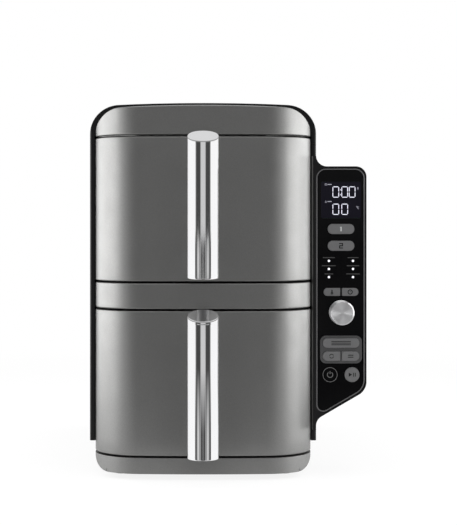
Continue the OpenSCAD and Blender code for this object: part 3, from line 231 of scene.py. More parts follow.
def spun_face():
    """Turned metal: rings round the dial's axis carry the roughness, and the highlight fans out from it."""
    r = Recipe("dial_spun").base(0.50, metallic=1.0, anisotropic=0.95, anisotropic_rotation=0.25)
    low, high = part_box("dial_knob")
    centred = r.node("ShaderNodeMapping", {
        "Vector": r.place, "Location": (-(low.x + high.x) / 2, 0, -(low.z + high.z) / 2)}).outputs["Vector"]
    axis = r.node("ShaderNodeSeparateXYZ", {"Vector": centred})
    flat = r.node("ShaderNodeCombineXYZ", {"X": axis.outputs["X"], "Y": axis.outputs["Z"]})
    wave = {"Vector": flat.outputs["Vector"], "Scale": 650.0, "Distortion": 0.6, "Detail": 2.0}
    rings = r.node("ShaderNodeTexWave", wave, wave_type="RINGS", rings_direction="Z").outputs["Fac"]
    r.tone((0.78, 0.78, 0.79), 0.10, rings)
    r.rough(rings, 0.46, 0.54)
    tangent = r.node("ShaderNodeTangent", direction_type="RADIAL", axis="Y").outputs["Tangent"]
    r.tree.links.new(tangent, r.shader.inputs["Tangent"])
    return r.relief((rings, 0.00003, 0.3)).material


def sheet_steel(name, colour, low, high, grain):
    """Rolled sheet: fine lines along one way, cloudy gloss, and darker patches where heat has been."""
    r = Recipe(name).base(low, metallic=0.95)
    r.tone(colour, 0.22, r.noise(14, 5))
    r.rough(r.noise(grain, 4, (1, 0.04, 1)), low, high)
    return r.relief((r.noise(grain, 3, (1, 0.04, 1)), 0.00003, 0.25), edge=0.0005).material


def cast_coating():
    """Non-stick coating: dark, slightly pebbled, with sparse paler specks."""
    r = Recipe("basket_coating").base(0.42, metallic=0.25, coat_weight=0.1, coat_roughness=0.3)
    specks = r.node("ShaderNodeTexVoronoi", {"Vector": r.place, "Scale": 420.0}).outputs["Distance"]
    r.tone(shade(46, 46, 48), 0.45, r.spread(specks, 1.0, 0.0, 0.03, 0.16))
    r.rough(r.noise(90, 4), 0.36, 0.5)
    return r.relief((r.noise(700, 3), 0.00005, 0.3), edge=0.0006).material


def soft_rubber(name, level):
    """Matt rubber with a cloudy bloom."""
    r = Recipe(name).base(0.75, specular_ior_level=0.3)
    r.tone(shade(level, level, level), 0.25, r.noise(60, 5))
    r.rough(r.noise(200, 4), 0.66, 0.86)
    return r.relief((r.noise(1500, 3), 0.00005, 0.4), edge=0.0006).material


def lacquered_board():
    """Circuit board: green lacquer over a faint net of tracks."""
    r = Recipe("circuit_board").base(0.35, coat_weight=0.4, coat_roughness=0.15)
    tracks = r.node("ShaderNodeTexBrick", {
        "Vector": r.place, "Scale": 160.0, "Mortar Size": 0.12, "Mortar": (0.03, 0.19, 0.07, 1),
        "Color1": (0.010, 0.085, 0.030, 1), "Color2": (0.014, 0.11, 0.04, 1)})
    r.tree.links.new(tracks.outputs["Color"], r.shader.inputs["Base Color"])
    r.rough(r.noise(300, 3), 0.3, 0.45)
    return r.relief((tracks.outputs["Fac"], 0.00008, 0.4)).material


def lit(name, colour, strength):
    """Lamps and digits: a pale diffuser that glows, a little uneven along its light guide."""
    r = Recipe(name).base(0.4)
    r.tone(colour, 0.05, r.noise(500, 2))
    glow = r.spread(r.noise(350, 2), strength * 0.9, strength * 1.05)
    r.tree.links.new(glow, r.shader.inputs["Emission Strength"])
    r.shader.inputs["Emission Color"].default_value = (*colour, 1)
    return r.material


def printed(name, level):
    """Ink of the marks on the keys and panel."""
    r = Recipe(name).base(0.5, specular_ior_level=0.15)
    r.tone(shade(level, level, level), 0.08, r.noise(900, 2))
    return r.rough(r.noise(600, 3), 0.42, 0.6).material


def key_plastic(name, level):
    """Satin grey moulding of the keys."""
    r = Recipe(name).base(0.45)
    r.tone(shade(level, level, level + 1), 0.06, r.noise(120, 4))
    r.rough(r.noise(400, 3), 0.4, 0.52)
    return r.relief((r.noise(1800, 3), 0.00003, 0.25), edge=0.0004).material


def smoked_window():
    """Smoked window: near black with a blue cast, under a hard clear coat."""
    r = Recipe("window_smoke").base(0.12, specular_ior_level=0.07)
    r.tone(shade(19, 18, 26), 0.1, r.noise(60, 3))
    r.rough(r.noise(300, 4), 0.1, 0.18)
    return r.relief((r.noise(90, 2), 0.00003, 0.1)).material


finishes = {
    "front_grey": painted_front(),
    "shell_black": moulded_black("shell_black", 17, 0.40, 1500),
    "rubber_black": soft_rubber("rubber_black", 30),
    "silicone_black": soft_rubber("silicone_black", 42),
    "screw_steel": sheet_steel("screw_steel", (0.55, 0.55, 0.56), 0.25, 0.38, 700),
    "liner_steel": sheet_steel("liner_steel", (0.50, 0.50, 0.51), 0.28, 0.45, 500),
    "heater_tube": sheet_steel("heater_tube", (0.12, 0.105, 0.10), 0.4, 0.6, 300),
    "motor_metal": sheet_steel("motor_metal", (0.45, 0.45, 0.46), 0.35, 0.5, 400),
    "circuit_board": lacquered_board(),
    "panel_gloss": gloss_black("panel_gloss", shade(8, 8, 9)),
    "trim_grey": key_plastic("trim_grey", 61),
    "window_smoke": smoked_window(),
    "lamp_white": lit("lamp_white", (0.92, 0.92, 1.0), 0.35),
    "handle_chrome": chrome(),
    "basket_coating": cast_coating(),
    "dial_metal": spun_face(),
    "key_grey": key_plastic("key_grey", 94),
}
rim_line = key_plastic("rim_line", 80)
# The handle posts are chrome, but get this dull grey steel. Its grey is a painted reflection of the grey
# fronts that chrome posts show.
stem_metal = sheet_steel("stem_metal", (0.25, 0.25, 0.25), 0.5, 0.6, 500)
slot_of = {part["node"]: part["material_slot"] for part in frame["record"]["subparts"]}
for name, solid in nodes.items():
    solid.data.materials.clear()
    solid.data.materials.append(finishes[slot_of[name]])

digit_light = lit("digit_light", (0.78, 0.78, 0.90), 0.45)
sign_light = lit("sign_light", (0.34, 0.34, 0.40), 0.25)
mark_pale = printed("mark_pale", 190)
mark_dark = printed("mark_dark", 9)
mark_dim = printed("mark_dim", 100)
mark_faint = printed("mark_faint", 66)


# ---- Surfaces --------------------------------------------------------------------------------------------

DOUBLES = 2e-7              # points of a grid that lie nearer than this are one


def arc(centre, radius, start, end, count):
    """count points on a circle, from one angle to the other in radians, angles counted from +x towards +y."""
    t = np.linspace(start, end, count)
    return np.stack([centre[0] + radius * np.cos(t), centre[1] + radius * np.sin(t)], -1)


def cells(rows, cols, wrap=False, start=0, flip=False):
    """The four corners of every cell of a rows x cols grid; wrap joins the last column to the first."""
    i, j = np.meshgrid(np.arange(rows - 1), np.arange(cols if wrap else cols - 1), indexing="ij")
    k = (j + 1) % cols
    faces = np.stack([i * cols + j, i * cols + k, (i + 1) * cols + k, (i + 1) * cols + j], -1).reshape(-1, 4)
    return start + (faces[:, ::-1] if flip else faces)


def flat_piece(name, points, faces, body, material, merge=None):
    """A mesh piece that rides on a body. Its faces look outwards, and points nearer than merge become one."""
    mesh = bpy.data.meshes.new(name)
    mesh.from_pydata(points, [], faces)
    work = bmesh.new()
    work.from_mesh(mesh)
    if merge:
        bmesh.ops.remove_doubles(work, verts=work.verts, dist=merge)
    bmesh.ops.recalc_face_normals(work, faces=work.faces)
    work.to_mesh(mesh)
    work.free()
    mesh.materials.append(material)
    made = bpy.data.objects.new(name, mesh)
    bpy.context.scene.collection.objects.link(made)
    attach(made, body)
    return made


def piece(name, points, faces, body, slot, material=None, sharp=35, replaces=()):
    """A piece from grids of points, smooth up to the sharp angle in degrees. Its finish is its slot's, or the
    given one."""
    made = flat_piece(name, points.reshape(-1, 3).tolist(), faces.tolist(), body,
                      material or finishes[slot], DOUBLES)
    made.data.shade_smooth()
    made.data.set_sharp_from_angle(angle=math.radians(sharp))
    if replaces:
        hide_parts(*replaces)


def walled(outer, inner):
    """Points and faces of two sheets of the same grid, joined round all four edges into one closed wall."""
    rows, cols = outer.shape[:2]
    n = rows * cols
    index = np.arange(n).reshape(rows, cols)
    rim = np.concatenate([index[0, :-1], index[:-1, -1], index[-1, :0:-1], index[:0:-1, 0]])
    ahead = np.roll(rim, -1)
    strip = np.stack([rim, ahead, ahead + n, rim + n], -1)
    faces = np.concatenate([cells(rows, cols), cells(rows, cols, start=n, flip=True), strip])
    return np.concatenate([outer.reshape(-1, 3), inner.reshape(-1, 3)]), faces


def lathe(profile, centre, turns):
    """A profile of (radius, y) pairs carried round the y axis through centre = (x, z)."""
    a = np.linspace(0, 2 * math.pi, turns, endpoint=False)
    r, y = np.asarray(profile).T
    points = np.stack([centre[0] + r[:, None] * np.cos(a), np.broadcast_to(y[:, None], (len(r), turns)),
                       centre[1] + r[:, None] * np.sin(a)], -1)
    return points, cells(len(r), turns, wrap=True)


# ---- Grey fronts -----------------------------------------------------------------------------------------

CROWN_R = 1.000             # plan of the fronts: one wide arc,
CORNER_R = 0.050            # and one at each upright corner
FRONT_WALL = 0.003
FRONT_EDGE = 0.0013         # rounding round each front
TOP_CORNER_R = 0.0285       # outline of the top band: two corners,
ROOF_R = 1.8                # and the arc between them
CUT_GROWS = 0.006           # how much the outline has drawn in when its edge is fully round
SIDE_STEPS, CORNER_STEPS, CROWN_STEPS = 4, 25, 41       # points along the parts of a plan
CUT_STEPS = 91              # points across a plan that the outline cuts
EDGE_STEPS = 7              # rows round an edge
WALL_STEPS = 11             # rows from the lower edge to the upper one
ROUND_STEPS = 26            # rows up the round corners
front_low, front_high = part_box("upper_drawer_front")
front_half = (front_high.x - front_low.x) / 2


def front_plan(inset, y_back):
    """Plan of a front, left rear to right rear: side, corner arc, crown arc, corner arc and side, moved in by
    inset. The arcs are tangent, so their centres and the meeting point are on one line."""
    r, crown, half = CORNER_R - inset, CROWN_R - inset, front_half - inset
    meet = math.asin((half - r) / (crown - r))
    corner_y = crown_y + CROWN_R - (crown - r) * math.cos(meet)
    side = np.stack([np.full(SIDE_STEPS, half), np.linspace(y_back, corner_y, SIDE_STEPS)], -1)
    start, end = meet - math.pi / 2, -meet - math.pi / 2
    corner = arc((half - r, corner_y), r, 0, start, CORNER_STEPS)[1:]
    middle = arc((0, crown_y + CROWN_R), crown, start, end, CROWN_STEPS)[1:-1]
    right = np.concatenate([side, corner])
    path = np.concatenate([right, middle, right[::-1] * (-1, 1)])[::-1]
    return path + (body_x, 0)


def cut_plan(inset, y_back, half, soft):
    """Plan of a front that its outline cuts at a half width: the same arcs as functions of x, up to that
    width, and straight sides. soft is the radius of the edge between the two."""
    r, crown, full = CORNER_R - inset, CROWN_R - inset, front_half - inset
    meet = math.asin((full - r) / (crown - r))
    corner_y = crown_y + CROWN_R - (crown - r) * math.cos(meet)
    x = min(half, full) * np.sin(np.linspace(-math.pi / 2, math.pi / 2, CUT_STEPS))
    crown_arc = crown_y + CROWN_R - np.sqrt(crown ** 2 - x ** 2)
    corner_arc = corner_y - np.sqrt(np.maximum(r ** 2 - np.maximum(np.abs(x) - (full - r), 0) ** 2, 0))
    y = np.where(np.abs(x) <= crown * math.sin(meet), crown_arc, corner_arc)
    near = np.maximum(soft - (min(half, full) - np.abs(x)), 0)
    y = y + soft - np.sqrt(np.maximum(soft ** 2 - near ** 2, 0))
    side = np.stack([np.full(SIDE_STEPS, x[-1]), np.linspace(y_back, y[-1], SIDE_STEPS)], -1)[:-1]
    path = np.concatenate([side * (-1, 1), np.stack([x, y], -1), side[::-1]])
    return path + (body_x, 0)


def front_sheet(z0, z1, y_back, inset, edge, half_at=None, roof_r=None):
    """A front as a sheet open at the back. Each row is the plan at one height, moved in along a quarter
    circle at the lower and upper edge. The first and last rows run along the rear edge, which closes the
    floor and the roof. half_at gives the half width at a height, where the front is cut to a round outline.
    With roof_r the heights shrink away from the middle, so that the upper edge is an arc of that radius."""
    turn = np.linspace(0, math.pi / 2, EDGE_STEPS)
    low = np.stack([edge * (1 - np.sin(turn)), z0 + edge * (1 - np.cos(turn))], -1)
    high = np.stack([edge * (1 - np.cos(turn)), z1 - edge * (1 - np.sin(turn))], -1)
    if half_at is None:
        heights = np.linspace(z0 + edge, z1 - edge, WALL_STEPS)[1:-1]
    else:
        t = np.linspace(0, math.asin(1 - edge / TOP_CORNER_R), ROUND_STEPS)[:-1]
        halfway = (z0 + edge + z1 - TOP_CORNER_R) / 2
        heights = np.append(halfway, z1 - TOP_CORNER_R + TOP_CORNER_R * np.sin(t))
    middle = np.stack([np.zeros(len(heights)), heights], -1)
    rows = []
    for step, z in np.concatenate([low, middle, high]):
        if half_at is None:
            path = front_plan(inset + step, y_back)
        else:
            cut = half_at(z)
            soft = edge * min(1.0, (front_half - cut) / CUT_GROWS)
            path = cut_plan(inset + step, y_back, cut - inset - step, soft)
        rows.append(np.column_stack([path, np.full(len(path), z)]))
    share = np.linspace(0, 1, len(rows[0]))[:, None]
    sole, roof = (row[0] * (1 - share) + row[-1] * share for row in (rows[0], rows[-1]))
    sheet = np.stack([sole, *rows, roof])
    if roof_r:
        fall = (sheet[..., 0] - body_x) ** 2 / (2 * roof_r)
        sheet[..., 2] -= (sheet[..., 2] - z0) * fall / (z1 - z0)
    return sheet


def front(name, node, body, half_at=None, roof_r=None):
    """A grey front with a wall of its own, over the node's solid."""
    low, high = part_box(node)
    outer = front_sheet(low.z, high.z, high.y, 0, FRONT_EDGE, half_at, roof_r)
    inner = front_sheet(low.z + FRONT_WALL, high.z - FRONT_WALL, high.y, FRONT_WALL, FRONT_EDGE / 4,
                        half_at and (lambda z: half_at(z + FRONT_WALL)), roof_r)
    points, faces = walled(outer, inner)
    piece(name, points, faces, body, "front_grey", replaces=(node,))


def round_top(z):
    """Half width of the top band at a height: its outline ends in two arcs in the front view."""
    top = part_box("top_fascia")[1].z
    rise = np.clip(z - (top - TOP_CORNER_R), 0, TOP_CORNER_R)
    return front_half - TOP_CORNER_R + math.sqrt(TOP_CORNER_R ** 2 - rise ** 2)


for level in LEVELS:
    front(f"{level}_front_panel", f"{level}_drawer_front", f"{level}_drawer")
front("middle_band", "middle_fascia", "housing")
front("top_band", "top_fascia", "housing", round_top, ROOF_R)


# ---- Handles ---------------------------------------------------------------------------------------------

BAR_SIZE = (0.0314, 0.021)  # of a bar, across and front to back
BAR_LENGTH = 0.1475
BAR_RISE = 0.00375          # of its foot over the lower edge of its drawer's front
BAR_SLANT = 0.0115          # how much lower its top is in front than behind,
FOOT_SLANT = 0.0020         # and how much lower its foot is
BAR_EDGE = 0.0010           # bright bevel round both ends
BAR_POWER = 0.94            # of the oval: 1 is an ellipse
BAR_FLAT = 0.99             # share of an end that is flat inside its bevel
BAR_POINTS = 120            # round a bar
BAR_ROWS = np.concatenate([[0.001], np.linspace(0.02, 0.98, 18), [0.999]])      # as shares of its length
BAR_SHARP = 50              # degrees: edges under this are smooth
BEVEL_STEPS = 6
POST_R = 0.0065
POST_HEIGHTS = (0.03375, 0.10965)
POST_SUNK = 0.003           # how far a post reaches into its bar,
POST_PAST = 0.0002          # and past the crown of its front
POST_FLARE = ((0, 0.002), (0.0003, 0.0008), (0.0012, 0))    # how much wider, and how far before its end
POST_TURNS = 48


def bar(level):
    """A handle bar: an oval carried upwards. The oval is a unit circle whose coordinates are raised to
    BAR_POWER, with their signs kept, times half the bar's size. Its foot and its top are cut on slants that
    fall to the front, and it draws in by a small quarter circle at both ends. The height of a point is its
    share of the way from the slanted sole to the slanted roof, and a lift for the bevels."""
    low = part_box(f"{level}_handle")[0]
    z0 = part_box(f"{level}_drawer_front")[0].z + BAR_RISE
    middle = (body_x, low.y + BAR_SIZE[1] / 2)
    a = np.linspace(0, 2 * math.pi, BAR_POINTS, endpoint=False)
    unit = np.stack([np.cos(a), np.sin(a)], -1)
    half = np.array(BAR_SIZE) / 2
    outline = half * np.sign(unit) * np.abs(unit) ** BAR_POWER
    turn = np.linspace(0, math.pi / 2, BEVEL_STEPS)
    bevel = BAR_EDGE / half[1]
    cap = np.array([0.0, 0.5, BAR_FLAT * (1 - bevel)])
    share = np.concatenate([cap, 1 - (1 - np.sin(turn)) * bevel, np.ones(len(BAR_ROWS)),
                            1 - (1 - np.cos(turn[1:])) * bevel, cap[::-1]])
    way = np.concatenate([np.zeros(len(cap) + len(turn)), BAR_ROWS, np.ones(len(turn) - 1 + len(cap))])
    lift = BAR_EDGE * np.concatenate([np.zeros(len(cap)), 1 - np.cos(turn), 1 - 2 * BAR_ROWS,
                                      np.sin(turn[1:]) - 1, np.zeros(len(cap))])
    xy = outline * share[:, None, None]
    sole = z0 + FOOT_SLANT * (half[1] + xy[..., 1]) / BAR_SIZE[1]
    roof = z0 + BAR_LENGTH - BAR_SLANT * (half[1] - xy[..., 1]) / BAR_SIZE[1]
    z = sole * (1 - way[:, None]) + roof * way[:, None] + lift[:, None]
    points = np.concatenate([xy + middle, z[..., None]], -1)
    piece(f"{level}_handle_bar", points, cells(len(share), len(a), wrap=True), f"{level}_drawer",
          "handle_chrome", sharp=BAR_SHARP, replaces=(f"{level}_handle",))
    for k, height in enumerate(POST_HEIGHTS):
        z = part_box(f"{level}_drawer_front")[0].z + height
        y0, y1 = low.y + BAR_SIZE[1] - POST_SUNK, crown_y + POST_PAST
        flare = [(POST_R + wider, y1 - before) for wider, before in POST_FLARE]
        points, faces = lathe([(0, y0), (POST_R, y0), *flare, (0, y1)], (body_x, z), POST_TURNS)
        # The posts are chrome, finished in a dull grey that is a painted reflection of the fronts
        piece(f"{level}_handle_post_{k + 1}", points, faces, f"{level}_drawer", "handle_chrome", stem_metal)


for level in LEVELS:
    bar(level)


# ---- Dial ------------------------------------------------------------------------------------------------

# Stretches of the cap's half section, as how far in from its outer edge and how far behind its front
DIAL_SEAT = ((0.0014, 0.0005), (0.0013, 0.0001))
DIAL_CHAMFER = ((0.0012, 0), (0.0011, 0.0001), (0, 0.0015))
DIAL_GROOVE = ((0, 0.0029), (0.0003, 0.0032), (0.0003, 0.0036), (0, 0.0039))
DIAL_EDGE = 0.0004          # its chamfer at the back
DIAL_WALL = 0.002
DIAL_HOLLOW = 0.0035        # how far behind its front the hollow in its back ends
FACE_IN = 0.00145           # from the cap's outer edge to the face's
FACE_BEHIND = 0.0001        # the face's edge, behind the cap's front,
FACE_DISH = 0.0003          # how much deeper its middle is,
FACE_BACK = 0.0007          # and where it ends
FACE_STEPS = 14
DIAL_TURNS = 128
DIAL_SHARP = 28             # degrees


def dial():
    """The dial: a turned cap with a bright chamfer and a fine groove, round a face of its own. The face is
    dished: it is deepest in the middle, and rises with the square of the distance from there."""
    low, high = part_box("dial_knob")
    r, y0, y1 = (high.x - low.x) / 2, low.y, high.y
    centre = ((low.x + high.x) / 2, (low.z + high.z) / 2)
    shown = [(r - inwards, y0 + behind) for inwards, behind in DIAL_SEAT + DIAL_CHAMFER + DIAL_GROOVE]
    hollow = y0 + DIAL_HOLLOW
    bore = r - DIAL_WALL
    hidden = [(r, y1 - DIAL_EDGE), (r - DIAL_EDGE, y1), (bore, y1), (bore, hollow), (0, hollow)]
    points, faces = lathe([(0, shown[0][1])] + shown + hidden, centre, DIAL_TURNS)
    piece("dial_cap", points, faces, "dial", "dial_metal", sharp=DIAL_SHARP, replaces=("dial_knob",))
    edge = r - FACE_IN
    dish = [(s * edge, y0 + FACE_BEHIND + FACE_DISH * (1 - s * s)) for s in np.linspace(0, 1, FACE_STEPS)]
    points, faces = lathe(dish + [(edge, y0 + FACE_BACK), (0, y0 + FACE_BACK)], centre, DIAL_TURNS)
    piece("dial_face", points, faces, "dial", "dial_metal", sharp=DIAL_SHARP)


dial()


# ---- Line round the panel --------------------------------------------------------------------------------

RIM_WIDTH = 0.0018          # of the trim ring that carries the line
LINE_WIDTH = 0.0011
LINE_CHAMFER = 0.00015
LINE_PROUD, LINE_SUNK = 0.0002, 0.0006      # how far it stands over the ring, and reaches into it
LINE_LEFT = (0.0006, 0.0004)    # how far its two sides lie to the left of the ring's middle
LINE_CORNERS = (0.007, 0.016, 0.0095)       # radii: lower left, lower right, and both upper ones
LINE_STEPS = 12             # points round each corner
LINE_BELOW_POWER = 0.01443  # from the middle of the power key to the line's lower outer corner
WING_ANGLE = 30.2           # degrees: slope of the wing's lower edge


def rounded(corners):
    """Points and outward normals of a closed outline with round corners, from (x, z, radius) corners counted
    anticlockwise. Each arc touches both sides of its corner: its centre lies off the corner by radius over
    (1 + the cosine of the turn), along the sum of the two sides' normals."""
    place, r = np.array(corners)[:, :2], np.array(corners)[:, 2]
    into = place - np.roll(place, 1, 0)
    into /= np.linalg.norm(into, axis=1)[:, None]
    facing = np.stack([into[:, 1], -into[:, 0]], -1)
    after = np.roll(facing, -1, 0)
    turn = np.arccos(np.sum(facing * after, 1))
    centre = place - (facing + after) * (r / (1 + np.cos(turn)))[:, None]
    start = np.arctan2(facing[:, 1], facing[:, 0])
    angle = start[:, None] + turn[:, None] * np.linspace(0, 1, LINE_STEPS)
    normal = np.stack([np.cos(angle), np.sin(angle)], -1)
    return (centre[:, None] + r[:, None, None] * normal).reshape(-1, 2), normal.reshape(-1, 2)


def rim():
    """The thin pale line on the inner half of the dark trim ring: a chamfered section carried along it."""
    low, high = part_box("panel_rim")
    x0 = low.x + RIM_WIDTH / 2 - LINE_LEFT[0]
    x1 = high.x - RIM_WIDTH / 2 - LINE_LEFT[1]
    z1 = high.z - RIM_WIDTH / 2
    power_low, power_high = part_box("key_power")
    z_low = (power_low.z + power_high.z) / 2 - LINE_BELOW_POWER
    fall = (x1 - x0) * math.tan(math.radians(WING_ANGLE))
    left_r, right_r, upper_r = LINE_CORNERS
    outline, normal = rounded([(x0, z_low - fall, left_r), (x1, z_low, right_r), (x1, z1, upper_r),
                               (x0, z1, upper_r)])
    inner, outer = -RIM_WIDTH / 2, LINE_WIDTH - RIM_WIDTH / 2
    shoulder = LINE_CHAMFER - LINE_PROUD
    section = [(outer, LINE_SUNK), (outer, shoulder), (outer - LINE_CHAMFER, -LINE_PROUD),
               (inner + LINE_CHAMFER, -LINE_PROUD), (inner, shoulder), (inner, LINE_SUNK), (outer, LINE_SUNK)]
    rows = [np.insert(outline + normal * out, 1, low.y + depth, axis=1) for out, depth in section]
    piece("panel_rim_line", np.stack(rows), cells(len(rows), len(outline), wrap=True), "housing", "trim_grey",
          rim_line)
    nodes["panel_rim"].data.materials[0] = finishes["panel_gloss"]


rim()


# ---- Display and marks -----------------------------------------------------------------------------------

face_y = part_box("display_window")[0].y
dial_low, dial_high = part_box("dial_knob")
panel_x = (dial_low.x + dial_high.x) / 2
INK = 0.00006               # how far ink and light stand over what carries them,
INK_SUNK = 0.00003          # and how far they reach into it
DIGIT_W, DIGIT_H, SEGMENT = 0.0067, 0.0113, 0.00068
# The display's two rows of digits, as height and places from the middle line of the controls, and its colon
DIGIT_ROWS = ((0.2868, (-0.00865, 0.0005, 0.0081)), (0.2691, (-0.00865, 0.0005)))
COLON = ((-0.00055, 0.2896, 0.0003, 0.0005), (-0.00055, 0.2947, 0.0003, 0.0005))
# Small signs beside them, from the same line: a clock for the time, a thermometer for the heat, a bar after
# each, a minute mark and a degree mark. Rings are x, z, radius, width, angles and cells; blocks are a middle
# and half sizes; strokes are two ends and a width.
SIGN_RINGS = ((-0.0155, 0.3002, 0.0010, 0.0003, 0, 360, 18), (-0.0155, 0.2821, 0.0006, 0.0003, 0, 360, 12),
              (0.0164, 0.2773, 0.0005, 0.0003, 0, 360, 12), (0.0180, 0.2762, 0.0010, 0.0004, 60, 300, 12))
SIGN_BLOCKS = ((-0.01165, 0.3002, 0.00215, 0.0004), (-0.01165, 0.2827, 0.00215, 0.0004))
SIGN_STROKES = (((-0.0155, 0.3002), (-0.0155, 0.3009), 0.0003),
                ((-0.0155, 0.3002), (-0.0150, 0.3002), 0.0003),
                ((-0.0155, 0.2825), (-0.0155, 0.2838), 0.0004),
                ((0.0174, 0.2948), (0.0174, 0.2976), 0.0007))
# Plain strips over the mode lamps, where a panel has its legends: height, and half lengths left and right
STRIP_X = (-0.0124, 0.0124)
STRIPS = ((0.2251, (0.0062, 0.0056)), (0.2168, (0.0070, 0.0064)), (0.2084, (0.0044, 0.0070)))
STRIP_HALF_H = 0.0004


def extruded(outline, y):
    """A flat outline of (x, z) points over a face at depth y, and the same a little way into it."""
    ring = np.asarray(outline, float)
    n = len(ring)
    front_ring = np.stack([ring[:, 0], np.full(n, y - INK), ring[:, 1]], -1)
    back_ring = front_ring + (0, INK + INK_SUNK, 0)
    k = np.arange(n)
    ahead = (k + 1) % n
    sides = np.stack([k, ahead, ahead + n, k + n], -1).tolist()
    return np.concatenate([front_ring, back_ring]), [k.tolist(), (k[::-1] + n).tolist()] + sides


def marks(name, outlines, y, body, material):
    """Many flat outlines as one piece of ink."""
    points, faces, start = [], [], 0
    for outline in outlines:
        corners, sides = extruded(outline, y)
        points.append(corners)
        faces += [[start + v for v in side] for side in sides]
        start += len(corners)
    flat_piece(name, np.concatenate(points).tolist(), faces, body, material)


def stroke(a, b, width):
    """A straight stroke with pointed ends, as a six-sided outline."""
    a, b = np.array(a, float), np.array(b, float)
    along = (b - a) / np.linalg.norm(b - a) * width / 2
    across = np.array([-along[1], along[0]])
    return np.array([a, a + along + across, b - along + across, b, b - along - across, a + along - across])


def ring_parts(x, z, radius, width, start, end, count):
    """A ring, or part of one, cut into flat cells. Angles in degrees, counted from +x towards +z."""
    t = np.radians(np.linspace(start, end, count + 1))
    inner, outer = (np.stack([x + r * np.cos(t), z + r * np.sin(t)], -1)
                    for r in (radius - width / 2, radius + width / 2))
    return [np.array([inner[i], inner[i + 1], outer[i + 1], outer[i]]) for i in range(count)]


def block(x, z, half_w, half_h):
    """A rectangle round (x, z), from half its width and half its height."""
    return np.array([(x - half_w, z - half_h), (x + half_w, z - half_h), (x + half_w, z + half_h),
                     (x - half_w, z + half_h)])


def zero(x, z):
    """The six strokes of a seven-segment 0 whose lower left corner is at (x, z)."""
    w, h, gap = DIGIT_W - SEGMENT, DIGIT_H - SEGMENT, SEGMENT / 2
    corner = (x + SEGMENT / 2, z + SEGMENT / 2)
    ends = (((gap, h), (w - gap, h)), ((w, h / 2 + gap), (w, h - gap)), ((w, gap), (w, h / 2 - gap)),
            ((gap, 0), (w - gap, 0)), ((0, gap), (0, h / 2 - gap)), ((0, h / 2 + gap), (0, h - gap)))
    return [stroke(np.add(a, corner), np.add(b, corner), SEGMENT) for a, b in ends]


digits = [part for z, places in DIGIT_ROWS for dx in places for part in zero(dx, z)]
digits += [block(*dot) for dot in COLON]
signs = [part for ring in SIGN_RINGS for part in ring_parts(*ring)]
signs += [block(*word) for word in SIGN_BLOCKS] + [stroke(*line) for line in SIGN_STROKES]
for name, outlines, light in (("display_digits", digits, digit_light), ("display_signs", signs, sign_light)):
    marks(name, [outline + (panel_x, 0) for outline in outlines], face_y, "housing", light)

# Signs on the keys, drawn round the middle of each: node, what it is, slot, ink and outlines
KEY_MARKS = (
    ("key_1", "numeral", "key_grey", mark_pale,
     [block(0, 0, 0.00055, 0.0023), stroke((-0.0012, 0.0015), (0.0001, 0.0023), 0.0005)]),
    ("key_2", "numeral", "key_grey", mark_dark,
     [block(0, k * 0.0023, 0.0020, 0.0005) for k in (-1, 0, 1)]
     + [block(k * 0.0015, k * 0.00115, 0.0005, 0.00065) for k in (-1, 1)]),
    ("key_temp", "sign", "key_grey", mark_dark,
     ring_parts(0, -0.0013, 0.0009, 0.0009, 0, 360, 12) + [stroke((0, -0.0005), (0, 0.0026), 0.0012)]),
    ("key_time", "sign", "key_grey", mark_dark,
     ring_parts(0, 0, 0.0022, 0.0009, 0, 360, 18)
     + [stroke((0, 0), (0, 0.0013), 0.0004), stroke((0, 0), (0.0010, 0), 0.0004)]),
    ("key_stack", "sign", "key_grey", mark_dark, [block(0, k * 0.0017, 0.0100, 0.00035) for k in (-1, 0, 1)]),
    ("key_sync", "sign", "key_grey", mark_dark,
     ring_parts(0, 0, 0.0020, 0.0007, 20, 170, 14) + ring_parts(0, 0, 0.0020, 0.0007, 200, 350, 14)),
    ("key_match", "sign", "key_grey", mark_dark, [block(0, k * 0.0010, 0.0028, 0.0004) for k in (-1, 1)]),
    ("key_power", "sign", "panel_gloss", mark_dim,
     ring_parts(0, 0, 0.0073, 0.0005, 0, 360, 60) + ring_parts(0, 0, 0.0028, 0.0007, 125, 415, 36)
     + [stroke((0, 0.0006), (0, 0.0038), 0.0008)]),
    ("key_start", "sign", "key_grey", mark_dark,
     [np.array([(-0.0034, -0.0020), (0, 0), (-0.0034, 0.0020)]), block(0.0016, 0, 0.0004, 0.0020),
      block(0.0034, 0, 0.0004, 0.0020)]),
)
for node, what, slot, ink, outlines in KEY_MARKS:
    low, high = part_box(node)
    middle = ((low.x + high.x) / 2, (low.z + high.z) / 2)
    marks(f"{node}_{what}", [outline + middle for outline in outlines], low.y, node, ink)

strips = [block(panel_x + dx, z, reach, STRIP_HALF_H)
          for z, reaches in STRIPS for dx, reach in zip(STRIP_X, reaches)]
marks("mode_strips", strips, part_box("control_panel")[0].y, "housing", mark_faint)


# ---- Floor, light and surroundings -----------------------------------------------------------------------

# What polished pieces see round the room: brightness by the angle from straight ahead, in degrees
ROOM = ((0, 0.62), (7.5, 0.62), (11.5, 0.06), (31, 0.06), (39, 1.0), (112, 1.0), (140, 0.7), (180, 0.7))
